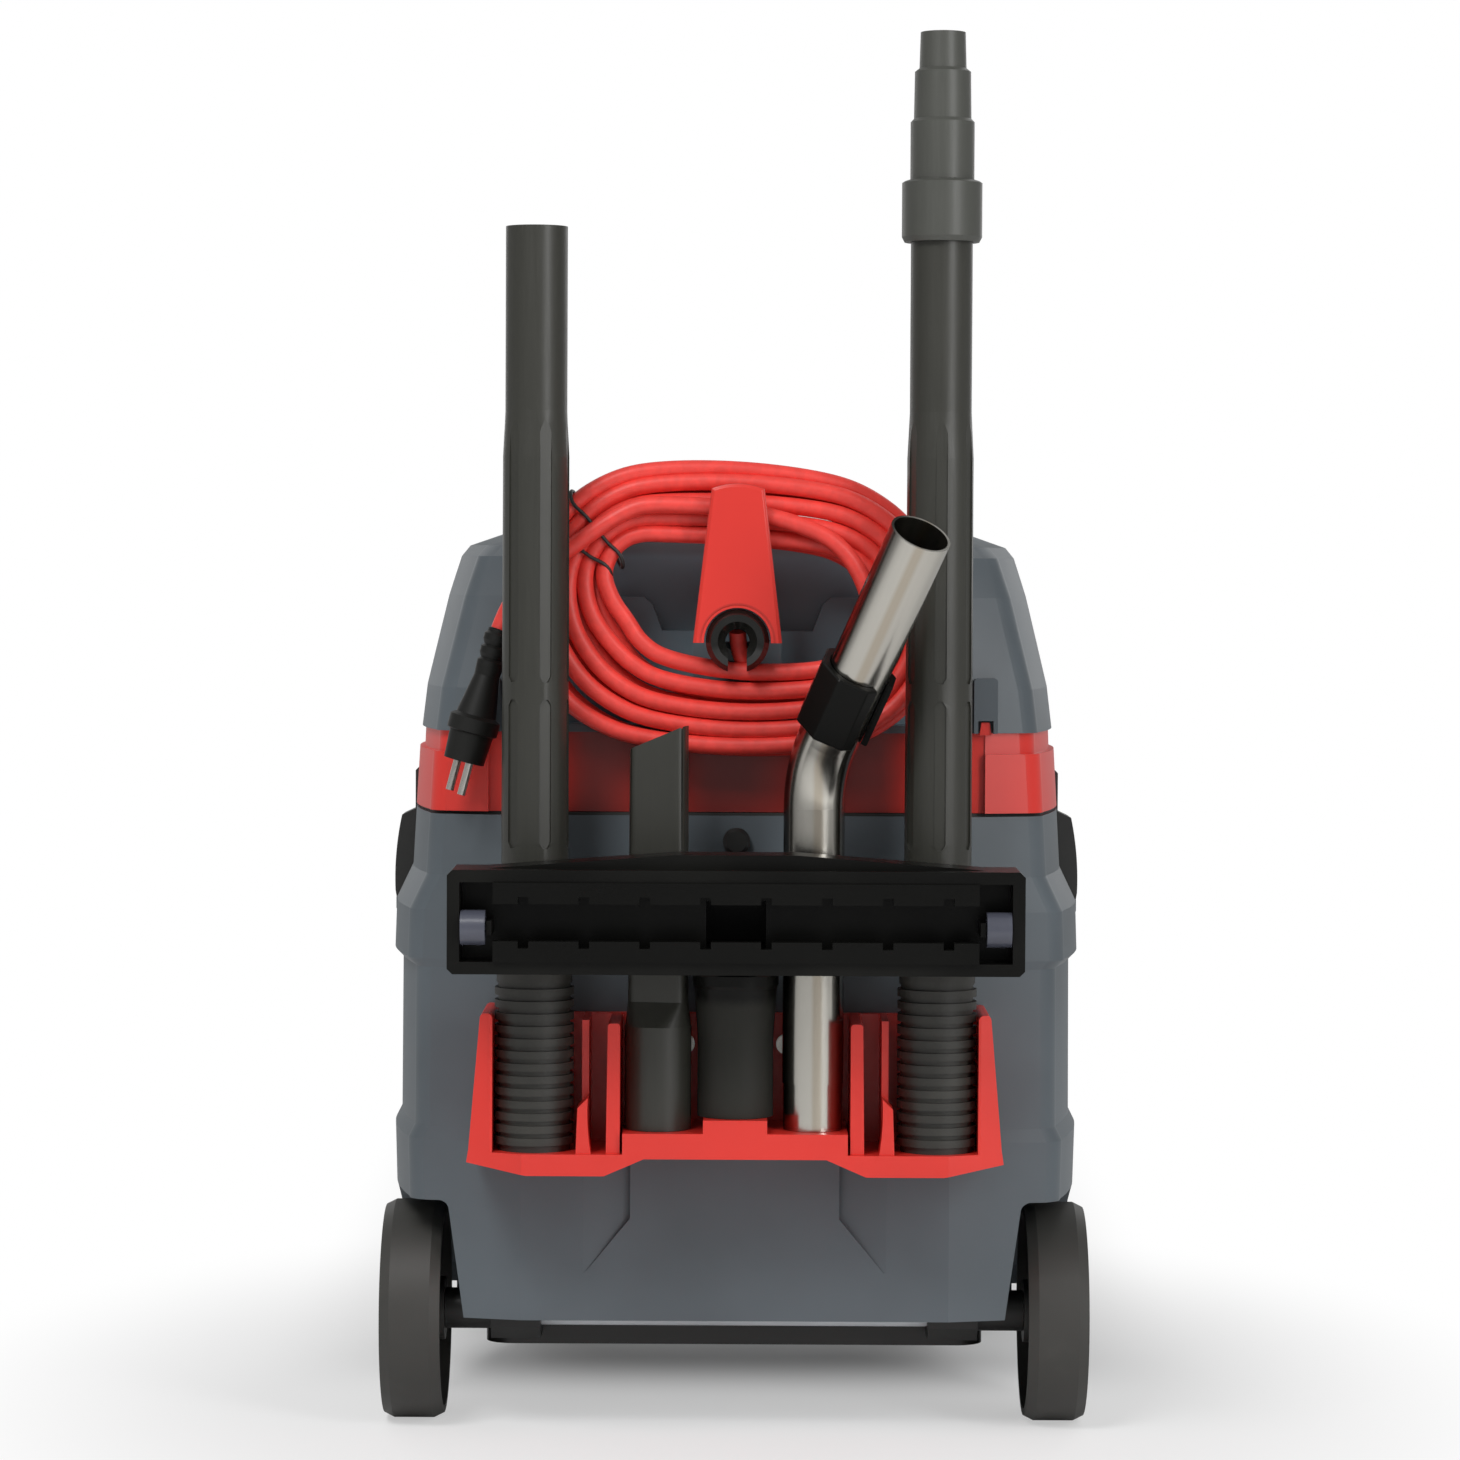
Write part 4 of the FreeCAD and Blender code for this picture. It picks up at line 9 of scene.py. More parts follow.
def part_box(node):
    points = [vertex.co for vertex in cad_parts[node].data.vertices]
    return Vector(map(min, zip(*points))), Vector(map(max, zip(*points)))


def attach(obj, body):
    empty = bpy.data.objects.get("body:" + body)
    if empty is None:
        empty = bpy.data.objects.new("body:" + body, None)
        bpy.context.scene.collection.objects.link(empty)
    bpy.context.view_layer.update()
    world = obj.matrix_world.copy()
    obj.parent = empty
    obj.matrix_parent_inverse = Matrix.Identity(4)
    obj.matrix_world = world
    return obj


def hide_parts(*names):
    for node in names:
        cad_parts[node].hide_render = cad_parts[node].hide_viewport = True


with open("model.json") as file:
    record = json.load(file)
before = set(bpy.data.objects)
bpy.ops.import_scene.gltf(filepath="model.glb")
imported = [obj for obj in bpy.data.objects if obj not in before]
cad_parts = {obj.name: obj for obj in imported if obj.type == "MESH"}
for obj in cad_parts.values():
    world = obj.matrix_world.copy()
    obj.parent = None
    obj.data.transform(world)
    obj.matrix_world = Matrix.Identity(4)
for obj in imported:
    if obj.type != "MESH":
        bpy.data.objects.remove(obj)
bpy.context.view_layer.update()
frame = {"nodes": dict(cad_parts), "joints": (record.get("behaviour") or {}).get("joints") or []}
nodes = frame["nodes"]
scene = bpy.context.scene

# Sizes in metres, in the machine's own frame: +Z up, -Y the back where the tools are parked.
CORD = 0.0102           # mains cord across
COIL_MIDDLE = 0.4910    # height of the wound cord's middle
COIL_TILT = -2.0        # degrees that its long axis is off level
LAYERS = (-0.1533, -0.1637, -0.1738)    # turns on the hood, turns on those, last turn
LAYERS_SINK = 0.0050    # how far the top of the coil sinks into the bay, the height over the
SINK_START = -0.02      # middle where that begins, and the rise that it takes
SINK_RISE = 0.05
CORE_ACROSS = 0.048     # the turns run round a lens of these half axes
CORE_UP = 0.006
FIRST_TURN = 0.0335     # distance of the innermost and outermost turn from the lens
LAST_TURN = 0.0765
TURN_PITCH = 0.0100
EYE_LIFT = 0.011        # the inner turns' left end sits this much higher
EYE_FALL = 0.011        # and they hang this much into the opening at the lower left
CROWN_LIFT = 0.003      # the outer turns arch a little at the top
FLAT_STRETCH = 0.30     # how much the winding angle slows down along the flat top and foot
EYE_START = 0.025       # the lift at the left starts this far from the middle, and is full
EYE_RUN = 0.05          # after this much more
SAG_SIDE = math.radians(215)            # where the inner turns hang most, and how narrowly
SAG_NARROW = 5
STEPS = 18              # control points in one turn
OUTER_STAY = 0.35       # part of a turn that the cord stays outermost, before it winds in again
LAST_POINT = 9.64       # turns to the end of the winding
LAYER_CLIMB = 0.40      # part of a turn that the cord takes to climb on the second layer
LOOSE_CLIMB = 9.16, 0.22                # turn where it climbs on the third, and what that takes
LOOSE_TURN = (8.9, 9.1, 9.22, 9.32, 9.42, 9.5, 9.58, 9.66)     # last turn: its reach, by turn
LOOSE_REACH = (0.0330, 0.0300, 0.0275, 0.0320, 0.0440, 0.0545, 0.0560, 0.0530)
TIE_WIRE = 0.0011       # radius of the wire ties
TIE_SQUARE = 0.4        # power that squares their loop: 1 is an ellipse, 0 a box
TIE_STEPS = 72          # points round it
NECK_TOP = 0.2660       # where the floor nozzle's neck meets its mouth, and half the blend there
NECK_BLEND = 0.004
HAND_RADIUS = 0.01775   # hand tube: radius, where its foot stands, height and lean of its bend
HAND_FOOT = 0.045
HAND_BEND = 0.400
HAND_LEAN = math.radians(35.6)
HAND_LEAN_AXIS = 0.806, 0.592, 0
HAND_RIGHT = 0.9207, 0, -0.3902         # across the leaning end, and that end's distance along it
HAND_OFFSET = 0.1146
STEEL_WARM_REFLECTION = -0.12, 0.05, 0.18, 0.36    # its painted warm reflection band, and the slopes of its painted dark reflections at the left and right edges: -1 to 1 from edge to edge
STEEL_LEFT_DARK_REFLECTION = -0.92, -0.48               # edges: -1 to 1 from edge to edge
STEEL_RIGHT_DARK_REFLECTION = 0.62, 0.95
RING_INNER = 0.0182     # air ring on the hand tube: radii, half its length, its edges' chamfer
RING_OUTER = 0.0234
RING_HALF = 0.0213
RING_CHAMFER = 0.0009
RING_SPAN = 78, 400     # its wall in degrees off the side that faces back: open towards the right
RING_FLATS = 8          # flats that a full ring would have, and points along the wall
RING_STEPS = 162
HOOK_FOOT = 0.026, 0.473        # cord hook: half width at its foot, and the foot's height
HOOK_TAPER = 0.11667            # loss of half width for each unit of height
HOOK_TOP = 0.566                # crown of its bowed head, and its fall for x squared
HOOK_BOW = 12.5
HOOK_EDGE = 0.0022              # width of its softened edge, and slopes of the painted shade along it
HOOK_SHADE = 0.0002, 0.0009
GROMMET_MIDDLE = 0.474          # height of the grommet, radii of the step round it and of the painted shade line along that step
GROMMET_STEP = 0.0206, 0.0216
GROMMET_SHADE_LINE = 0.0217, 0.0227
BAY_DEPTH = -0.1468, -0.1450, -0.010, 0.0       # sunk bay of the hood, where light is painted in: slopes of its mask in y, z and |x|
BAY_TOP = 0.522, 0.527                          # z and |x|
BAY_SIDE = 0.122, 0.130
SHADOW_BAND_BACK = -0.140, -0.134      # painted shadow on the back of the head ring under the coil: slopes of its mask in y and |x|
SHADOW_BAND_SIDE = 0.082, 0.120
FILTER_STAIN = 0.26, 0.33       # heights between which the filter's stain fades
TYRE_RADIUS = 0.052             # rear wheels, where the tread starts
GRAIN = 1400.0                  # pebbles of the moulds' grain in a metre, and its finer noise
FINE_GRAIN = 2380.0


# Meshes ---------------------------------------------------------------------------------

def mesh_object(name, vertices, faces, smooth=True):
    """A new piece at the origin, from whole arrays of corners and faces."""
    mesh = bpy.data.meshes.new(name)
    mesh.from_pydata(np.asarray(vertices).tolist(), [], np.asarray(faces).tolist())
    mesh.polygons.foreach_set("use_smooth", np.full(len(mesh.polygons), smooth))
    mesh.update()
    piece = bpy.data.objects.new(name, mesh)
    scene.collection.objects.link(piece)
    return piece


def ring_faces(rows, columns, closed_rows=False):
    """Quads of a grid whose columns close on themselves, and whose rows may as well."""
    i = np.arange(rows if closed_rows else rows - 1)[:, None]
    j = np.arange(columns)[None, :]
    a, b = i * columns + j, i * columns + (j + 1) % columns
    c, d = (i + 1) % rows * columns + (j + 1) % columns, (i + 1) % rows * columns + j
    return np.stack([a, b, c, d], axis=-1).reshape(-1, 4)


def closed_wire(name, path, radius, sides=10):
    """A wire round a closed path: point = path + radius * (cos a * side + sin a * other).

    Side points away from the path's middle, across the way ahead, and other is across both.
    """
    ahead = np.roll(path, -1, axis=0) - np.roll(path, 1, axis=0)
    ahead /= np.linalg.norm(ahead, axis=1)[:, None]
    outward = path - path.mean(axis=0)
    side = outward - (outward * ahead).sum(axis=1)[:, None] * ahead
    side /= np.linalg.norm(side, axis=1)[:, None]
    other = np.cross(ahead, side)
    a = np.linspace(0, 2 * np.pi, sides, endpoint=False)[None, :, None]
    grid = path[:, None] + radius * (np.cos(a) * side[:, None] + np.sin(a) * other[:, None])
    return mesh_object(name, grid.reshape(-1, 3), ring_faces(len(path), sides, closed_rows=True))


# Materials ------------------------------------------------------------------------------

class Field:
    """A shader socket that takes part in plain arithmetic: each operator adds its Math node."""

    def __init__(self, finish, socket):
        self.finish, self.socket = finish, socket

    def math(self, operation, *values):
        """The Math node of that operation on this value and the others."""
        return self.finish.put("ShaderNodeMath", {"operation": operation},
                               dict(enumerate((self, *values))))

    def __abs__(self):
        return self.math("ABSOLUTE")

    def __add__(self, value):
        return self.math("ADD", value)

    def __radd__(self, value):
        return self.math("ADD", value)

    def __sub__(self, value):
        return self.math("SUBTRACT", value)

    def __rsub__(self, value):
        return self.finish.put("ShaderNodeMath", {"operation": "SUBTRACT"}, {0: value, 1: self})

    def __mul__(self, value):
        return self.math("MULTIPLY", value)

    def __rmul__(self, value):
        return self.math("MULTIPLY", value)

    def __truediv__(self, value):
        return self.math("DIVIDE", value)

    def __pow__(self, value):
        return self.math("POWER", value)

    def between(self, low, high):
        """0 below low, 1 above high, and a smooth step from one to the other."""
        return self.finish.put("ShaderNodeMapRange", {"interpolation_type": "SMOOTHSTEP"},
                               {"Value": self, "From Min": low, "From Max": high})

    def band(self, low, high, fall, end):
        """1 from high to fall, with smooth steps up to it from low and down from it to end."""
        return self.between(low, high) * (1 - self.between(fall, end))


class Finish:
    """One material: its nodes, put down one by one, and its surface at the end."""

    def __init__(self, name):
        self.material = bpy.data.materials.new(name)
        self.material.use_nodes = True
        self.tree = self.material.node_tree
        self.tree.nodes.clear()
        self.place = self.put("ShaderNodeTexCoord", output="Object")

    def put(self, kind, settings=None, values=None, output=0):
        """Any node: its settings first, then its sockets' values or links, then its output."""
        node = self.tree.nodes.new(kind)
        for key, setting in (settings or {}).items():
            setattr(node, key, setting)
        for key, value in (values or {}).items():
            socket = node.inputs[key]
            if isinstance(value, Field):
                self.tree.links.new(value.socket, socket)
            else:
                socket.default_value = value
        return Field(self, node.outputs[output])

    def axes(self):
        """The three Object coordinates as numbers."""
        split = self.put("ShaderNodeSeparateXYZ", values={0: self.place}).socket.node
        return [Field(self, split.outputs[k]) for k in range(3)]

    def moved(self, turn=(0, 0, 0), scale=(1, 1, 1), where=None):
        """Object coordinates, or other ones, turned and stretched."""
        return self.put("ShaderNodeMapping", values={
            "Vector": where or self.place, "Rotation": turn, "Scale": scale})

    def noise(self, scale, detail, roughness=0.5, where=None):
        return self.put("ShaderNodeTexNoise", values={
            "Vector": where or self.place, "Scale": scale,
            "Detail": detail, "Roughness": roughness})

    def cells(self, scale):
        return self.put("ShaderNodeTexVoronoi", values={"Vector": self.place, "Scale": scale})

    def blend(self, amount, first, second):
        """From the first colour to the second, which may be links."""
        node = self.tree.nodes.new("ShaderNodeMix")
        node.data_type = "RGBA"
        for key, value in ((0, amount), (6, first), (7, second)):
            if isinstance(value, Field):
                self.tree.links.new(value.socket, node.inputs[key])
            else:
                node.inputs[key].default_value = value if key == 0 else rgba(value)
        return Field(self, node.outputs[2])

    def cloudy(self, colour, spread):
        """A slow cloud, and the colour that it darkens and lightens by spread."""
        cloud = self.noise(9.0, 3.0)
        tone = self.blend(cloud.between(0.3, 0.7),
                          scaled(colour, 1 - spread), scaled(colour, 1 + spread))
        return cloud, tone

    def bump(self, height, strength, distance):
        return self.put("ShaderNodeBump", values={"Height": height, "Strength": strength,
                                                  "Distance": distance})

    def surface(self, **sockets):
        """The Principled surface, with socket names written with underscores."""
        values = {}
        for key, value in sockets.items():
            plain = isinstance(value, tuple) and len(value) == 3
            values[key.replace("_", " ")] = rgba(value) if plain else value
        shader = self.put("ShaderNodeBsdfPrincipled", values=values)
        self.put_out(shader)
        return self.material

    def put_out(self, shader):
        out = self.tree.nodes.new("ShaderNodeOutputMaterial")
        self.tree.links.new(shader.socket, out.inputs["Surface"])


def rgba(colour):
    return (*colour, 1.0)


def scaled(colour, amount):
    return tuple(min(1.0, channel * amount) for channel in colour)


def moulded_plastic(name, colour, roughness, depth=0.00006, spread=0.12, specular=0.5,
                    patch=None):
    """Injection-moulded plastic: cloudy colour, an eroded fine grain and uneven gloss.

    A patch is a mask, as a function of the three coordinates, and the colour that goes there.
    """
    finish = Finish(name)
    cloud, tone = finish.cloudy(colour, spread)
    grain = finish.cells(GRAIN)
    fine = finish.noise(FINE_GRAIN, 2.0)
    if patch:
        mask, other_colour = patch
        tone = finish.blend(mask(*finish.axes()), tone, other_colour)
    gloss = roughness + (cloud - 0.5) * 0.10 + (fine - 0.5) * 0.08
    normal = finish.bump(grain * 0.6 + fine * 0.4, 0.35, depth)
    return finish.surface(Base_Color=tone, Roughness=gloss, Normal=normal,
                          Specular_IOR_Level=specular)


def painted_bay_light_mask(x, y, z):
    """1 in the hood's sunk bay behind the wound cord, where light is painted in as a paler grey, by
    depth, height and distance from x = 0.
    """
    return y.band(*BAY_DEPTH) * (1 - z.between(*BAY_TOP)) * (1 - abs(x).between(*BAY_SIDE))


def ring_plastic(name, colour, deep, roughness):
    """The head ring's plastic, with a painted shadow on the back under the wound cord."""
    finish = Finish(name)
    x, y, _ = finish.axes()
    cloud, tone = finish.cloudy(colour, 0.05)
    # painted shadow: the back of the ring under the wound cord is darkened towards the shadow red,
    # made patchy by a slow noise
    under = (1 - abs(x).between(*SHADOW_BAND_SIDE)) * (1 - y.between(*SHADOW_BAND_BACK))
    shadow_patchiness = finish.noise(22.0, 1.0).between(0.25, 0.75) * 0.15 + 0.85
    tone = finish.blend(under * shadow_patchiness, tone, deep)
    return finish.surface(Base_Color=tone, Roughness=roughness + (cloud - 0.5) * 0.1,
                          Normal=finish.bump(finish.cells(GRAIN), 0.2, 0.00005))


def nozzle_plastic(name, mouth, neck, roughness):
    """Black plastic, glossy round the mouth and a matt charcoal down the neck."""
    finish = Finish(name)
    z = finish.axes()[2]
    cloud = finish.noise(12.0, 3.0)
    upper = z.between(NECK_TOP - NECK_BLEND, NECK_TOP + NECK_BLEND)
    tone = finish.blend(upper, neck, mouth)
    tone = finish.blend(cloud.between(0.35, 0.7) * 0.3, tone, scaled(neck, 0.6))
    gloss = roughness + (1 - upper) * 0.2 + (cloud - 0.5) * 0.08
    return finish.surface(Base_Color=tone, Roughness=gloss, Specular_IOR_Level=0.15,
                          Normal=finish.bump(finish.cells(GRAIN), 0.3, 0.00003))


def hook_plastic(name, colour, roughness):
    """The cord hook's plastic, with softened edges and a fine step round the grommet.

    Edge distance = min(half width at z - |x|, top at x - z); the step is at a set radius. Painted
    shade darkens the rim along the edges and a fine line along the step.
    """
    finish = Finish(name)
    x, _, z = finish.axes()
    cloud, tone = finish.cloudy(colour, 0.04)
    side = HOOK_FOOT[0] - (z - HOOK_FOOT[1]) * HOOK_TAPER - abs(x)
    top = HOOK_TOP - (x * x) * HOOK_BOW - z
    rim = side.math("MINIMUM", top)
    radius = (x * x + (z - GROMMET_MIDDLE) ** 2.0) ** 0.5
    step = radius.between(*GROMMET_STEP)
    line = step * (1 - radius.between(*GROMMET_SHADE_LINE))
    height = rim.between(0.0, HOOK_EDGE) + step * 0.5
    # painted shade: a dark rim along the hook's edges, and a dark line along the step round the
    # grommet
    tone = finish.blend((1 - rim.between(*HOOK_SHADE)) * 0.45, tone, scaled(colour, 0.35))
    tone = finish.blend(line * 0.5, tone, scaled(colour, 0.45))
    return finish.surface(Base_Color=tone, Roughness=roughness + (cloud - 0.5) * 0.1,
                          Normal=finish.bump(height, 1.0, 0.0009))


def tube_plastic(name, colour, roughness):
    """Extruded plastic tube: fine marks along its length over the plastic's own cloudiness."""
    finish = Finish(name)
    streaks = finish.noise(900.0, 3.0, where=finish.moved(scale=(1.0, 1.0, 0.03)))
    cloud = finish.noise(14.0, 3.0)
    tone = finish.blend(streaks * 0.5 + cloud * 0.5, scaled(colour, 0.85), scaled(colour, 1.15))
    gloss = roughness + (streaks - 0.5) * 0.14 + (cloud - 0.5) * 0.08
    return finish.surface(Base_Color=tone, Roughness=gloss,
                          Normal=finish.bump(streaks, 0.25, 0.00008))


def soft_rubber(name, colour, roughness=0.62):
    """Rubber: matt, slightly dusty, with a soft pebble."""
    finish = Finish(name)
    pebble = finish.cells(1100.0)
    dust = finish.noise(35.0, 4.0)
    tone = finish.blend(dust.between(0.45, 0.75), colour, scaled(colour, 1.5))
    return finish.surface(Base_Color=tone, Roughness=roughness + (dust - 0.5) * 0.15,
                          Normal=finish.bump(pebble, 0.3, 0.00008))


def cord_jacket(name, colour):
    """Mains cord jacket: soft satin plastic with faint scuffs and a slight ripple."""
    finish = Finish(name)
    ripple = finish.noise(160.0, 2.0)
    scuff = finish.noise(700.0, 4.0)
    tone = finish.blend(ripple.between(0.35, 0.7), scaled(colour, 0.93), scaled(colour, 1.06))
    tone = finish.blend(scuff.between(0.66, 0.78) * 0.25, tone, scaled(colour, 1.5))
    return finish.surface(Base_Color=tone, Roughness=0.46 + (scuff - 0.5) * 0.12,
                          Normal=finish.bump(ripple + scuff * 0.2, 0.2, 0.0002))


def drawn_steel(name, colour):
    """Drawn stainless tube: streaks and soft bands follow its straight foot and its leaning end.

    Across runs from -1 to 1 over the tube of radius R: (x - foot) / R below the bend, and
    (p . right + offset) / R above it. The warm band and the dark edges are painted reflections,
    laid out by it.
    """
    finish = Finish(name)
    x, _, z = finish.axes()
    squeeze = (1.0, 1.0, 0.02)
    unlean = Matrix.Rotation(-HAND_LEAN, 3, Vector(HAND_LEAN_AXIS)).to_euler()
    upright = finish.moved(turn=tuple(unlean))
    low = finish.noise(650.0, 3.0, where=finish.moved(scale=squeeze))
    high = finish.noise(650.0, 3.0, where=finish.moved(scale=squeeze, where=upright))
    above = z.between(HAND_BEND - 0.01, HAND_BEND + 0.03)
    streaks = low * (1 - above) + high * above
    leaning = finish.put("ShaderNodeVectorMath", {"operation": "DOT_PRODUCT"},
                         {0: finish.place, 1: HAND_RIGHT}, output=1)
    across = (x - HAND_FOOT) * (1 - above) + (leaning + HAND_OFFSET) * above
    across = across / HAND_RADIUS
    stain = finish.noise(20.0, 4.0)
    tone = finish.blend(streaks * 0.5 + stain * 0.5, scaled(colour, 0.88), scaled(colour, 1.08))
    # painted reflections: a warm band across the tube, and dark left and right edges, the right one
    # weaker on the leaning end
    tone = finish.blend(across.band(*STEEL_WARM_REFLECTION) * 0.55, tone, WARM_REFLECTION_TONE)
    left = 1 - across.between(*STEEL_LEFT_DARK_REFLECTION)
    right = across.between(*STEEL_RIGHT_DARK_REFLECTION) * (0.75 - above * 0.45)
    tone = finish.blend((left + right) * 0.85, tone, DARK_REFLECTION_TONE)
    return finish.surface(Base_Color=tone, Metallic=1.0, Roughness=0.20 + (streaks - 0.5) * 0.12,
                          Normal=finish.bump(streaks, 0.12, 0.00004))


def plain_steel(name, colour, roughness=0.3):
    """Turned steel: fine marks and slight tarnish."""
    finish = Finish(name)
    tarnish = finish.noise(60.0, 4.0)
    mark = finish.noise(1500.0, 2.0)
    tone = finish.blend(tarnish, scaled(colour, 0.85), scaled(colour, 1.1))
    return finish.surface(Base_Color=tone, Metallic=1.0, Roughness=roughness + (mark - 0.5) * 0.15,
                          Normal=finish.bump(mark, 0.15, 0.00004))


def pleated_paper(name, colour):
    """Filter paper: fibrous, slightly stained towards the bottom."""
    finish = Finish(name)
    z = finish.axes()[2]
    fibre = finish.noise(1300.0, 5.0, roughness=0.7)
    low = 1 - z.between(*FILTER_STAIN)
    tone = finish.blend(fibre * 0.3 + low * 0.4, colour, scaled(colour, 0.6))
    return finish.surface(Base_Color=tone, Roughness=0.9 + (fibre - 0.5) * 0.1,
                          Normal=finish.bump(fibre, 0.5, 0.0002))


def wheel_plastic(name, tread, hub, centre):
    """Hard plastic wheel: a smooth tread round a slightly glossier hub, told apart by radius."""
    finish = Finish(name)
    _, y, z = finish.axes()
    radius = ((y - centre[1]) ** 2.0 + (z - centre[2]) ** 2.0) ** 0.5
    tyre = radius.between(TYRE_RADIUS - 0.0004, TYRE_RADIUS + 0.0004)
    dust = finish.noise(30.0, 4.0)
    tone = finish.blend(tyre, hub, tread)
    tone = finish.blend(dust.between(0.5, 0.8) * 0.4, tone, scaled(tread, 1.7))
    grain = finish.cells(1200.0)
    return finish.surface(Base_Color=tone, Roughness=0.42 + tyre * 0.12 + (dust - 0.5) * 0.1,
                          Normal=finish.bump(grain, 0.25, 0.00006))


def paint(names, material):
    """Gives CAD nodes a material in every slot they have."""
    for name in names:
        mesh = nodes[name].data
        if not mesh.materials:
            mesh.materials.append(material)
        for k in range(len(mesh.materials)):
            mesh.materials[k] = material


def sides(name):
    return [f"left_{name}", f"right_{name}"]


def middle_of(name):
    low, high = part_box(name)
    return (Vector(low) + Vector(high)) / 2


GREY = (0.088, 0.106, 0.120)
# paler bluish grey: painted light in the hood's shaded sunk bay
PAINTED_BAY_LIGHT_GREY = (0.108, 0.155, 0.182)
RED = (0.700, 0.032, 0.022)
# painted shadow colour for the head ring's back under the wound cord
SHADOW_RED = (0.050, 0.003, 0.002)
CORD_RED = (0.800, 0.052, 0.040)
BLACK = (0.016, 0.016, 0.015)
JET = (0.004, 0.004, 0.0035)
NECK_BLACK = (0.030, 0.030, 0.026)
PLUG_BLACK = (0.007, 0.007, 0.006)
RING_BLACK = (0.008, 0.008, 0.007)
RUBBER = (0.022, 0.022, 0.020)
SLEEVE = (0.026, 0.025, 0.021)
TUBE = (0.031, 0.031, 0.025)
ADAPTOR = (0.062, 0.064, 0.056)
ROLLER = (0.072, 0.076, 0.100)
TREAD = (0.042, 0.041, 0.037)
HUB = (0.024, 0.024, 0.022)
AXLE = (0.62, 0.65, 0.68)
STEEL = (0.62, 0.60, 0.56)
MOTOR = (0.45, 0.42, 0.38)
HAND_STEEL = (0.56, 0.54, 0.49)
# painted reflection tones of the hand tube: its warm band and its dark edges
WARM_REFLECTION_TONE = (0.40, 0.33, 0.24)
DARK_REFLECTION_TONE = (0.05, 0.045, 0.04)
PAPER = (0.72, 0.70, 0.62)

grey_shell = moulded_plastic("grey_shell", GREY, 0.46)
hood_grey = moulded_plastic("hood_grey", GREY, 0.46, patch=(painted_bay_light_mask, PAINTED_BAY_LIGHT_GREY))
red_gloss = moulded_plastic("red_gloss", RED, 0.34, spread=0.05)
black_satin = moulded_plastic("black_satin", BLACK, 0.42)
black_gloss = moulded_plastic("black_gloss", JET, 0.30, depth=0.00002, specular=0.14)
plug_black = moulded_plastic("plug_black", PLUG_BLACK, 0.5, specular=0.3)
axle_steel = moulded_plastic("axle_steel", AXLE, 0.45)
ring_gloss = moulded_plastic("ring_gloss", RING_BLACK, 0.12, depth=0.00001)
adaptor_dark = tube_plastic("adaptor_dark", ADAPTOR, 0.42)
nozzle_black = nozzle_plastic("nozzle_black", JET, NECK_BLACK, 0.30)
ring_red = ring_plastic("ring_red", RED, SHADOW_RED, 0.34)
hook_red = hook_plastic("hook_red", RED, 0.34)
tube_dark = tube_plastic("tube_dark", TUBE, 0.40)
rubber_black = soft_rubber("rubber_black", RUBBER)
sleeve_rubber = soft_rubber("sleeve_rubber", SLEEVE, 0.5)
roller_grey = moulded_plastic("roller_grey", ROLLER, 0.25)
bright_steel = plain_steel("bright_steel", STEEL)
motor_steel = plain_steel("motor_steel", MOTOR, 0.4)
filter_paper = pleated_paper("filter_paper", PAPER)
cord_red = cord_jacket("cord_red", CORD_RED)
hand_steel = drawn_steel("hand_steel", HAND_STEEL)

paint(["tank_shell"], grey_shell)
paint(["hood"], hood_grey)
paint(["head_ring"], ring_red)
paint(["tool_holder", "switch_knob"], red_gloss)
paint(["cord_hook"], hook_red)
paint(["cord_grommet"], ring_gloss)
paint(["step_adaptor"], adaptor_dark)
paint(["rear_button", "hose_inlet", "chassis_frame", "motor_deck", "carry_handle", "fan_housing",
       "filter_cage", "suction_knob", "tool_socket", "socket_lid", *sides("axle_bracket"),
       *sides("axle_cap"), *sides("caster_fork"), *sides("latch")], black_satin)
paint(["floor_nozzle"], nozzle_black)
paint(["air_slider", "nozzle_lips"], black_gloss)
paint(["plug"], plug_black)
paint(["rear_axle"], axle_steel)
paint(["crevice_nozzle", *sides("tube")], tube_dark)
paint(["tank_seal", *sides("caster_wheel")], rubber_black)
paint(sides("sleeve"), sleeve_rubber)
paint(sides("nozzle_roller"), roller_grey)
paint(["holder_screws", "latch_pins", "plug_pins", "motor_shaft", "impeller",
       *sides("caster_pin")], bright_steel)
paint(["motor_body"], motor_steel)
paint(["filter_cartridge"], filter_paper)
paint(["hand_tube"], hand_steel)
paint(["cord_coil", "cord_tail", "plug_lead"], cord_red)
for side in sides("rear_wheel"):
    paint([side], wheel_plastic(side + "_plastic", TREAD, HUB, middle_of(side)))


# Wound cord -----------------------------------------------------------------------------

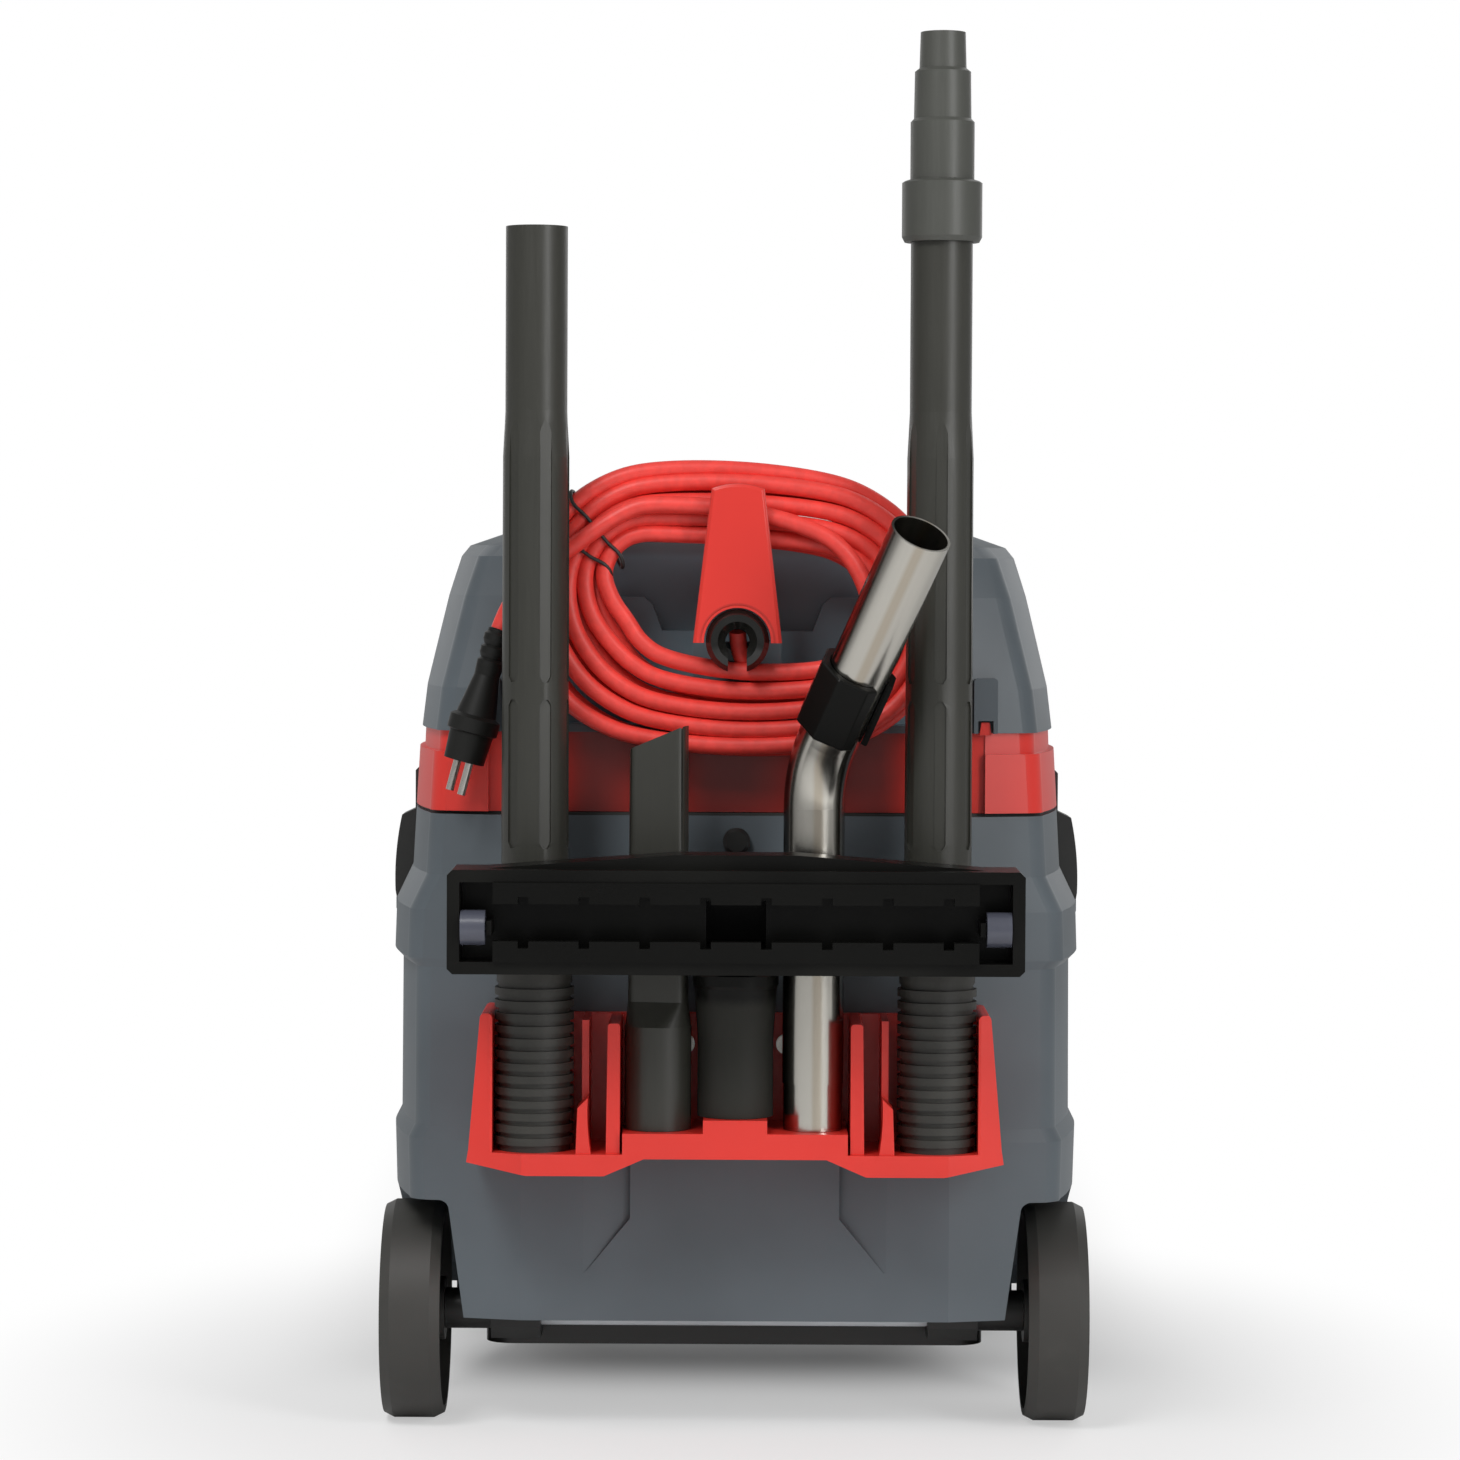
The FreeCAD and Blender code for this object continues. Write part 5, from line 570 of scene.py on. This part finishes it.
def on_turn(turn, reach, depth):
    """A point of the winding: the edge of a lens (half axes A, B), moved out by reach.

    With normal angle a: x = A^2 cos a / h + reach cos a, z = B^2 sin a / h + reach sin a,
    where h = sqrt(A^2 cos^2 a + B^2 sin^2 a). The angle slows down along the flat top and foot.
    The inner turns are then pulled up on the left and sag at the lower left, as hung cord does.
    """
    even = 2 * np.pi * (turn - 0.25)
    angle = even + FLAT_STRETCH * np.sin(2 * even)
    across, up = np.cos(angle), np.sin(angle)
    inner = np.clip((LAST_TURN - reach) / (LAST_TURN - FIRST_TURN), 0, 1)
    reach = reach - EYE_FALL * inner * np.exp(SAG_NARROW * (np.cos(angle - SAG_SIDE) - 1))
    edge = np.hypot(CORE_ACROSS * across, CORE_UP * up)
    x = CORE_ACROSS ** 2 * across / edge + reach * across
    z = CORE_UP ** 2 * up / edge + reach * up
    z = z + EYE_LIFT * inner * smooth_step((-x - EYE_START) / EYE_RUN)
    z = z + CROWN_LIFT * (1 - inner) * np.clip(up, 0, 1) ** 3
    tilt = math.radians(COIL_TILT)
    x, z = (x * math.cos(tilt) - z * math.sin(tilt),
            x * math.sin(tilt) + z * math.cos(tilt))
    y = depth + LAYERS_SINK * smooth_step((z - SINK_START) / SINK_RISE)
    return np.stack([x, y, COIL_MIDDLE + z], axis=-1)


def smooth_step(value):
    """0 below 0, 1 above 1, and 3 v^2 - 2 v^3 between."""
    value = np.clip(value, 0, 1)
    return value * value * (3 - 2 * value)


def wound_turns():
    """Control points of all turns, bottom to right to top to left.

    The first layer lies on the hood and its reach grows by a pitch a turn. The cord then climbs
    on the second layer, which winds in again. The last turn runs loose inside the right end, over
    the others under the hook, and out towards the left. Small waves of the turn number keep the
    strands from lying too evenly.
    """
    grown = (LAST_TURN - FIRST_TURN) / TURN_PITCH
    climb = grown + OUTER_STAY
    turn = np.arange(int(LAST_POINT * STEPS) + 1) / STEPS
    rising = FIRST_TURN + TURN_PITCH * np.minimum(turn, grown)
    falling = LAST_TURN - TURN_PITCH * np.maximum(turn - climb, 0)
    reach = np.minimum(rising, falling)
    reach = np.where(turn > LOOSE_TURN[0], np.interp(turn, LOOSE_TURN, LOOSE_REACH), reach)
    layer = smooth_step((turn - grown - 0.02) / LAYER_CLIMB)
    layer = layer + smooth_step((turn - LOOSE_CLIMB[0]) / LOOSE_CLIMB[1])
    around = 2 * np.pi * turn
    wobble = 0.0007 * np.sin(around + 2.1 * turn) + 0.0005 * np.sin(2 * around + 1.3 * turn)
    fan = 0.05 * (reach - FIRST_TURN) * np.sin(around - 0.6)
    depth = np.interp(layer, [0, 1, 2], LAYERS) + 0.0006 * np.sin(1.7 * around)
    return on_turn(turn, reach + wobble - fan, depth)


def power_cord():
    """The whole cord: down out of the grommet, round the hook in turns, and off to the plug."""
    drop = [(0, -0.1660, 0.4800), (0.0008, -0.1530, 0.4505)]
    lead = [(-0.111, -0.1695, 0.5185), (-0.1270, -0.1670, 0.5040), (-0.1360, -0.1655, 0.4900),
            (-0.1395, -0.1660, 0.4800)]
    turns = wound_turns()[1:].tolist()
    points = drop + turns + lead
    curve = bpy.data.curves.new("power_cord", "CURVE")
    curve.dimensions = "3D"
    curve.bevel_depth = CORD / 2
    curve.bevel_resolution = 5
    curve.resolution_u = 8
    curve.use_fill_caps = True
    spline = curve.splines.new("NURBS")
    spline.points.add(len(points) - 1)
    spline.points.foreach_set("co", np.array([(*p, 1.0) for p in points]).ravel())
    spline.order_u = 3
    spline.use_endpoint_u = True
    cord = bpy.data.objects.new("power_cord", curve)
    scene.collection.objects.link(cord)
    curve.materials.append(cord_red)
    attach(cord, "head")
    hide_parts("cord_coil", "cord_tail", "plug_lead")


def wire_tie(name, angle, near, far):
    """Thin wire round the bundle of turns: a rounded box in the plane of depth and reach.

    Superellipse: reach = middle + half * sgn(cos a) |cos a|^s, depth likewise with sin a. The
    wire isn't quite flat: x and z swing a little as a goes round.
    """
    a = np.linspace(0, 2 * np.pi, TIE_STEPS, endpoint=False)
    across, deep = (np.sign(wave) * np.abs(wave) ** TIE_SQUARE for wave in (np.cos(a), np.sin(a)))
    reach = (near + far) / 2 + (far - near) / 2 * across
    low = LAYERS[1] + LAYERS_SINK - CORD / 2 - TIE_WIRE
    high = LAYERS[0] + LAYERS_SINK + CORD / 2 + TIE_WIRE
    y = (low + high) / 2 + (high - low) / 2 * deep
    lean = math.radians(angle)
    x = -CORE_ACROSS + reach * math.cos(lean) + 0.0015 * np.sin(2 * a)
    z = COIL_MIDDLE + reach * math.sin(lean) + 0.0020 * np.cos(3 * a)
    tie = closed_wire(name, np.stack([x, y, z], axis=-1), TIE_WIRE)
    tie.data.materials.append(black_satin)
    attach(tie, "head")
    return tie


power_cord()
ties = [wire_tie("wire_tie_a", 126.0, 0.0340, 0.0845),
        wire_tie("wire_tie_b", 141.0, 0.0345, 0.0835)]
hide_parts("cord_ties")


# Air ring -------------------------------------------------------------------------------

def air_ring():
    """The sleeve on the hand tube, open on one side, with flats round its wall.

    Point = middle + along * axis + radius * (cos a * back + sin a * right), where the outer radius
    runs from a corner to a flat: R cos(f / 2) / cos(b), with f the angle of one flat and b the
    angle off the middle of the nearest one.
    """
    joint = next(j for j in frame["joints"] if j["name"] == "air_ring_turn")
    axis = np.array(joint["axis"]) / np.linalg.norm(joint["axis"])
    back = np.array([0, -1.0, 0]) + axis[1] * axis
    back /= np.linalg.norm(back)
    right = np.cross(axis, back)
    a = np.radians(np.linspace(*RING_SPAN, RING_STEPS))
    flat = 2 * math.pi / RING_FLATS
    off = (a + flat / 2) % flat - flat / 2
    wall = RING_OUTER * math.cos(flat / 2) / np.cos(off)
    plain = np.full_like(a, RING_INNER)
    low, high = np.full_like(a, -RING_HALF), np.full_like(a, RING_HALF)
    edge = wall - RING_CHAMFER
    radius = np.stack([plain, edge, wall, wall, edge, plain], axis=-1)
    along = np.stack([low, low, low + RING_CHAMFER, high - RING_CHAMFER, high, high], axis=-1)
    outward = np.cos(a)[:, None] * back + np.sin(a)[:, None] * right
    grid = np.array(joint["pos_m"]) + along[..., None] * axis + radius[..., None] * outward[:, None]
    last = 6 * (len(a) - 1)
    ends = np.array([(0, 5, 2, 1), (2, 5, 4, 3), (last, last + 1, last + 2, last + 5),
                     (last + 2, last + 3, last + 4, last + 5)])
    faces = np.vstack([ring_faces(len(a), 6), ends])
    ring = mesh_object("air_ring", grid.reshape(-1, 3), faces, smooth=False)
    ring.data.materials.append(black_gloss)
    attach(ring, "slider_ring")
    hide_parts("air_slider")


air_ring()


# Stage ----------------------------------------------------------------------------------

CAMERA_PLACE = 0, -2.876, 0.5213
CAMERA_LENS = 114.0
CAMERA_YAW, CAMERA_PITCH, CAMERA_ROLL = (math.radians(angle) for angle in (0.087, 2.105, 0.28))
FLOOR_REACH = 6.0
FLOOR_WHITE = 0.47      # share of plain white in the floor by the machine
FLOOR_FADE = 0.26, 0.56         # distances over which it turns all white
UNDER_SHADOW_DEPTH = -0.02, 0.14       # slopes in y and |x| of the painted shadow under the machine, where the floor's white glow is cut back
UNDER_SHADOW_SIDE = 0.14, 0.32
SOFT_LEVEL = 0.38       # strength of the world for all rays but the camera's and the clear ones
AIM = 0, -0.1, 0.4      # point that the front lamps look at


def make_camera():
    """Long lens behind the machine, a little above half its height and tipped down."""
    data = bpy.data.cameras.new("camera")
    data.lens, data.sensor_width = CAMERA_LENS, 36.0
    camera = bpy.data.objects.new("camera", data)
    scene.collection.objects.link(camera)
    level = math.cos(CAMERA_PITCH)
    ahead = Vector((-math.sin(CAMERA_YAW) * level, math.cos(CAMERA_YAW) * level,
                    -math.sin(CAMERA_PITCH)))
    right = ahead.cross(Vector((0, 0, 1))).normalized()
    up = right.cross(ahead)
    lean, stand = math.sin(CAMERA_ROLL), math.cos(CAMERA_ROLL)
    right, up = right * stand + up * lean, up * stand - right * lean
    turn = Matrix((right, up, -ahead)).transposed()
    camera.matrix_world = Matrix.Translation(CAMERA_PLACE) @ turn.to_4x4()
    data.clip_start, data.clip_end = 0.1, 50
    scene.camera = camera


def area_light(name, place, target, size, power):
    """A soft rectangular lamp that looks at its target."""
    data = bpy.data.lights.new(name, "AREA")
    data.shape, data.size, data.size_y = "RECTANGLE", *size
    data.energy = power
    lamp = bpy.data.objects.new(name, data)
    scene.collection.objects.link(lamp)
    lamp.location = place
    ahead = Vector(target) - Vector(place)
    lamp.rotation_euler = ahead.to_track_quat("-Z", "Y").to_euler()


def make_floor():
    """Pale floor: it takes the machine's shadow near by and is plain white further out; under the
    machine its white glow is cut back, a painted deepening of that shadow.
    """
    corners = [(x * FLOOR_REACH, y * FLOOR_REACH, 0)
               for x, y in ((-1, -1), (1, -1), (1, 1), (-1, 1))]
    floor = mesh_object("floor", corners, [(0, 1, 2, 3)], smooth=False)
    finish = Finish("pale_floor")
    x, y, _ = finish.axes()
    away = (x ** 2.0 + (y * 0.7) ** 2.0) ** 0.5
    white = finish.put("ShaderNodeEmission", values={"Color": (1, 1, 1, 1), "Strength": 1.0})
    matt = finish.put("ShaderNodeBsdfDiffuse", values={"Color": (0.86, 0.86, 0.86, 1)})
    seen = finish.put("ShaderNodeLightPath", output="Is Camera Ray")
    # painted shadow: under the machine the white glow is cut back, so the matt floor with its own
    # shadow shows darker there
    under = y.between(*UNDER_SHADOW_DEPTH) * (1 - abs(x).between(*UNDER_SHADOW_SIDE))
    shown = FLOOR_WHITE + away.between(*FLOOR_FADE) * (1 - FLOOR_WHITE)
    amount = shown * (1 - under * 0.85) * seen
    finish.put_out(finish.put("ShaderNodeMixShader", values={0: amount, 1: matt, 2: white}))
    floor.data.materials.append(finish.material)


def make_world():
    """White to the camera and through clear pieces, and a plain soft level for all other rays."""
    world = bpy.data.worlds.new("studio")
    scene.world = world
    world.use_nodes = True
    tree = world.node_tree
    tree.nodes.clear()
    path = tree.nodes.new("ShaderNodeLightPath")
    either = tree.nodes.new("ShaderNodeMath")
    either.operation = "MAXIMUM"
    tree.links.new(path.outputs["Is Camera Ray"], either.inputs[0])
    tree.links.new(path.outputs["Is Transmission Ray"], either.inputs[1])
    mix = tree.nodes.new("ShaderNodeMixShader")
    tree.links.new(either.outputs[0], mix.inputs[0])
    for slot, strength in ((1, SOFT_LEVEL), (2, 1.0)):
        background = tree.nodes.new("ShaderNodeBackground")
        background.inputs["Color"].default_value = (1, 1, 1, 1)
        background.inputs["Strength"].default_value = strength
        tree.links.new(background.outputs[0], mix.inputs[slot])
    out = tree.nodes.new("ShaderNodeOutputWorld")
    tree.links.new(mix.outputs[0], out.inputs["Surface"])


make_camera()
make_floor()
make_world()
area_light("key", (-0.9, -1.9, 2.3), AIM, (0.9, 0.9), 36)
area_light("fill", (1.5, -1.9, 1.2), AIM, (0.6, 1.6), 22)
area_light("left_rim", (-0.95, 1.5, 1.2), (-0.1, 0.1, 0.4), (0.6, 1.6), 3)
area_light("right_rim", (0.95, 1.5, 1.2), (0.1, 0.1, 0.4), (0.6, 1.6), 4)
scene.view_settings.view_transform = "Standard"
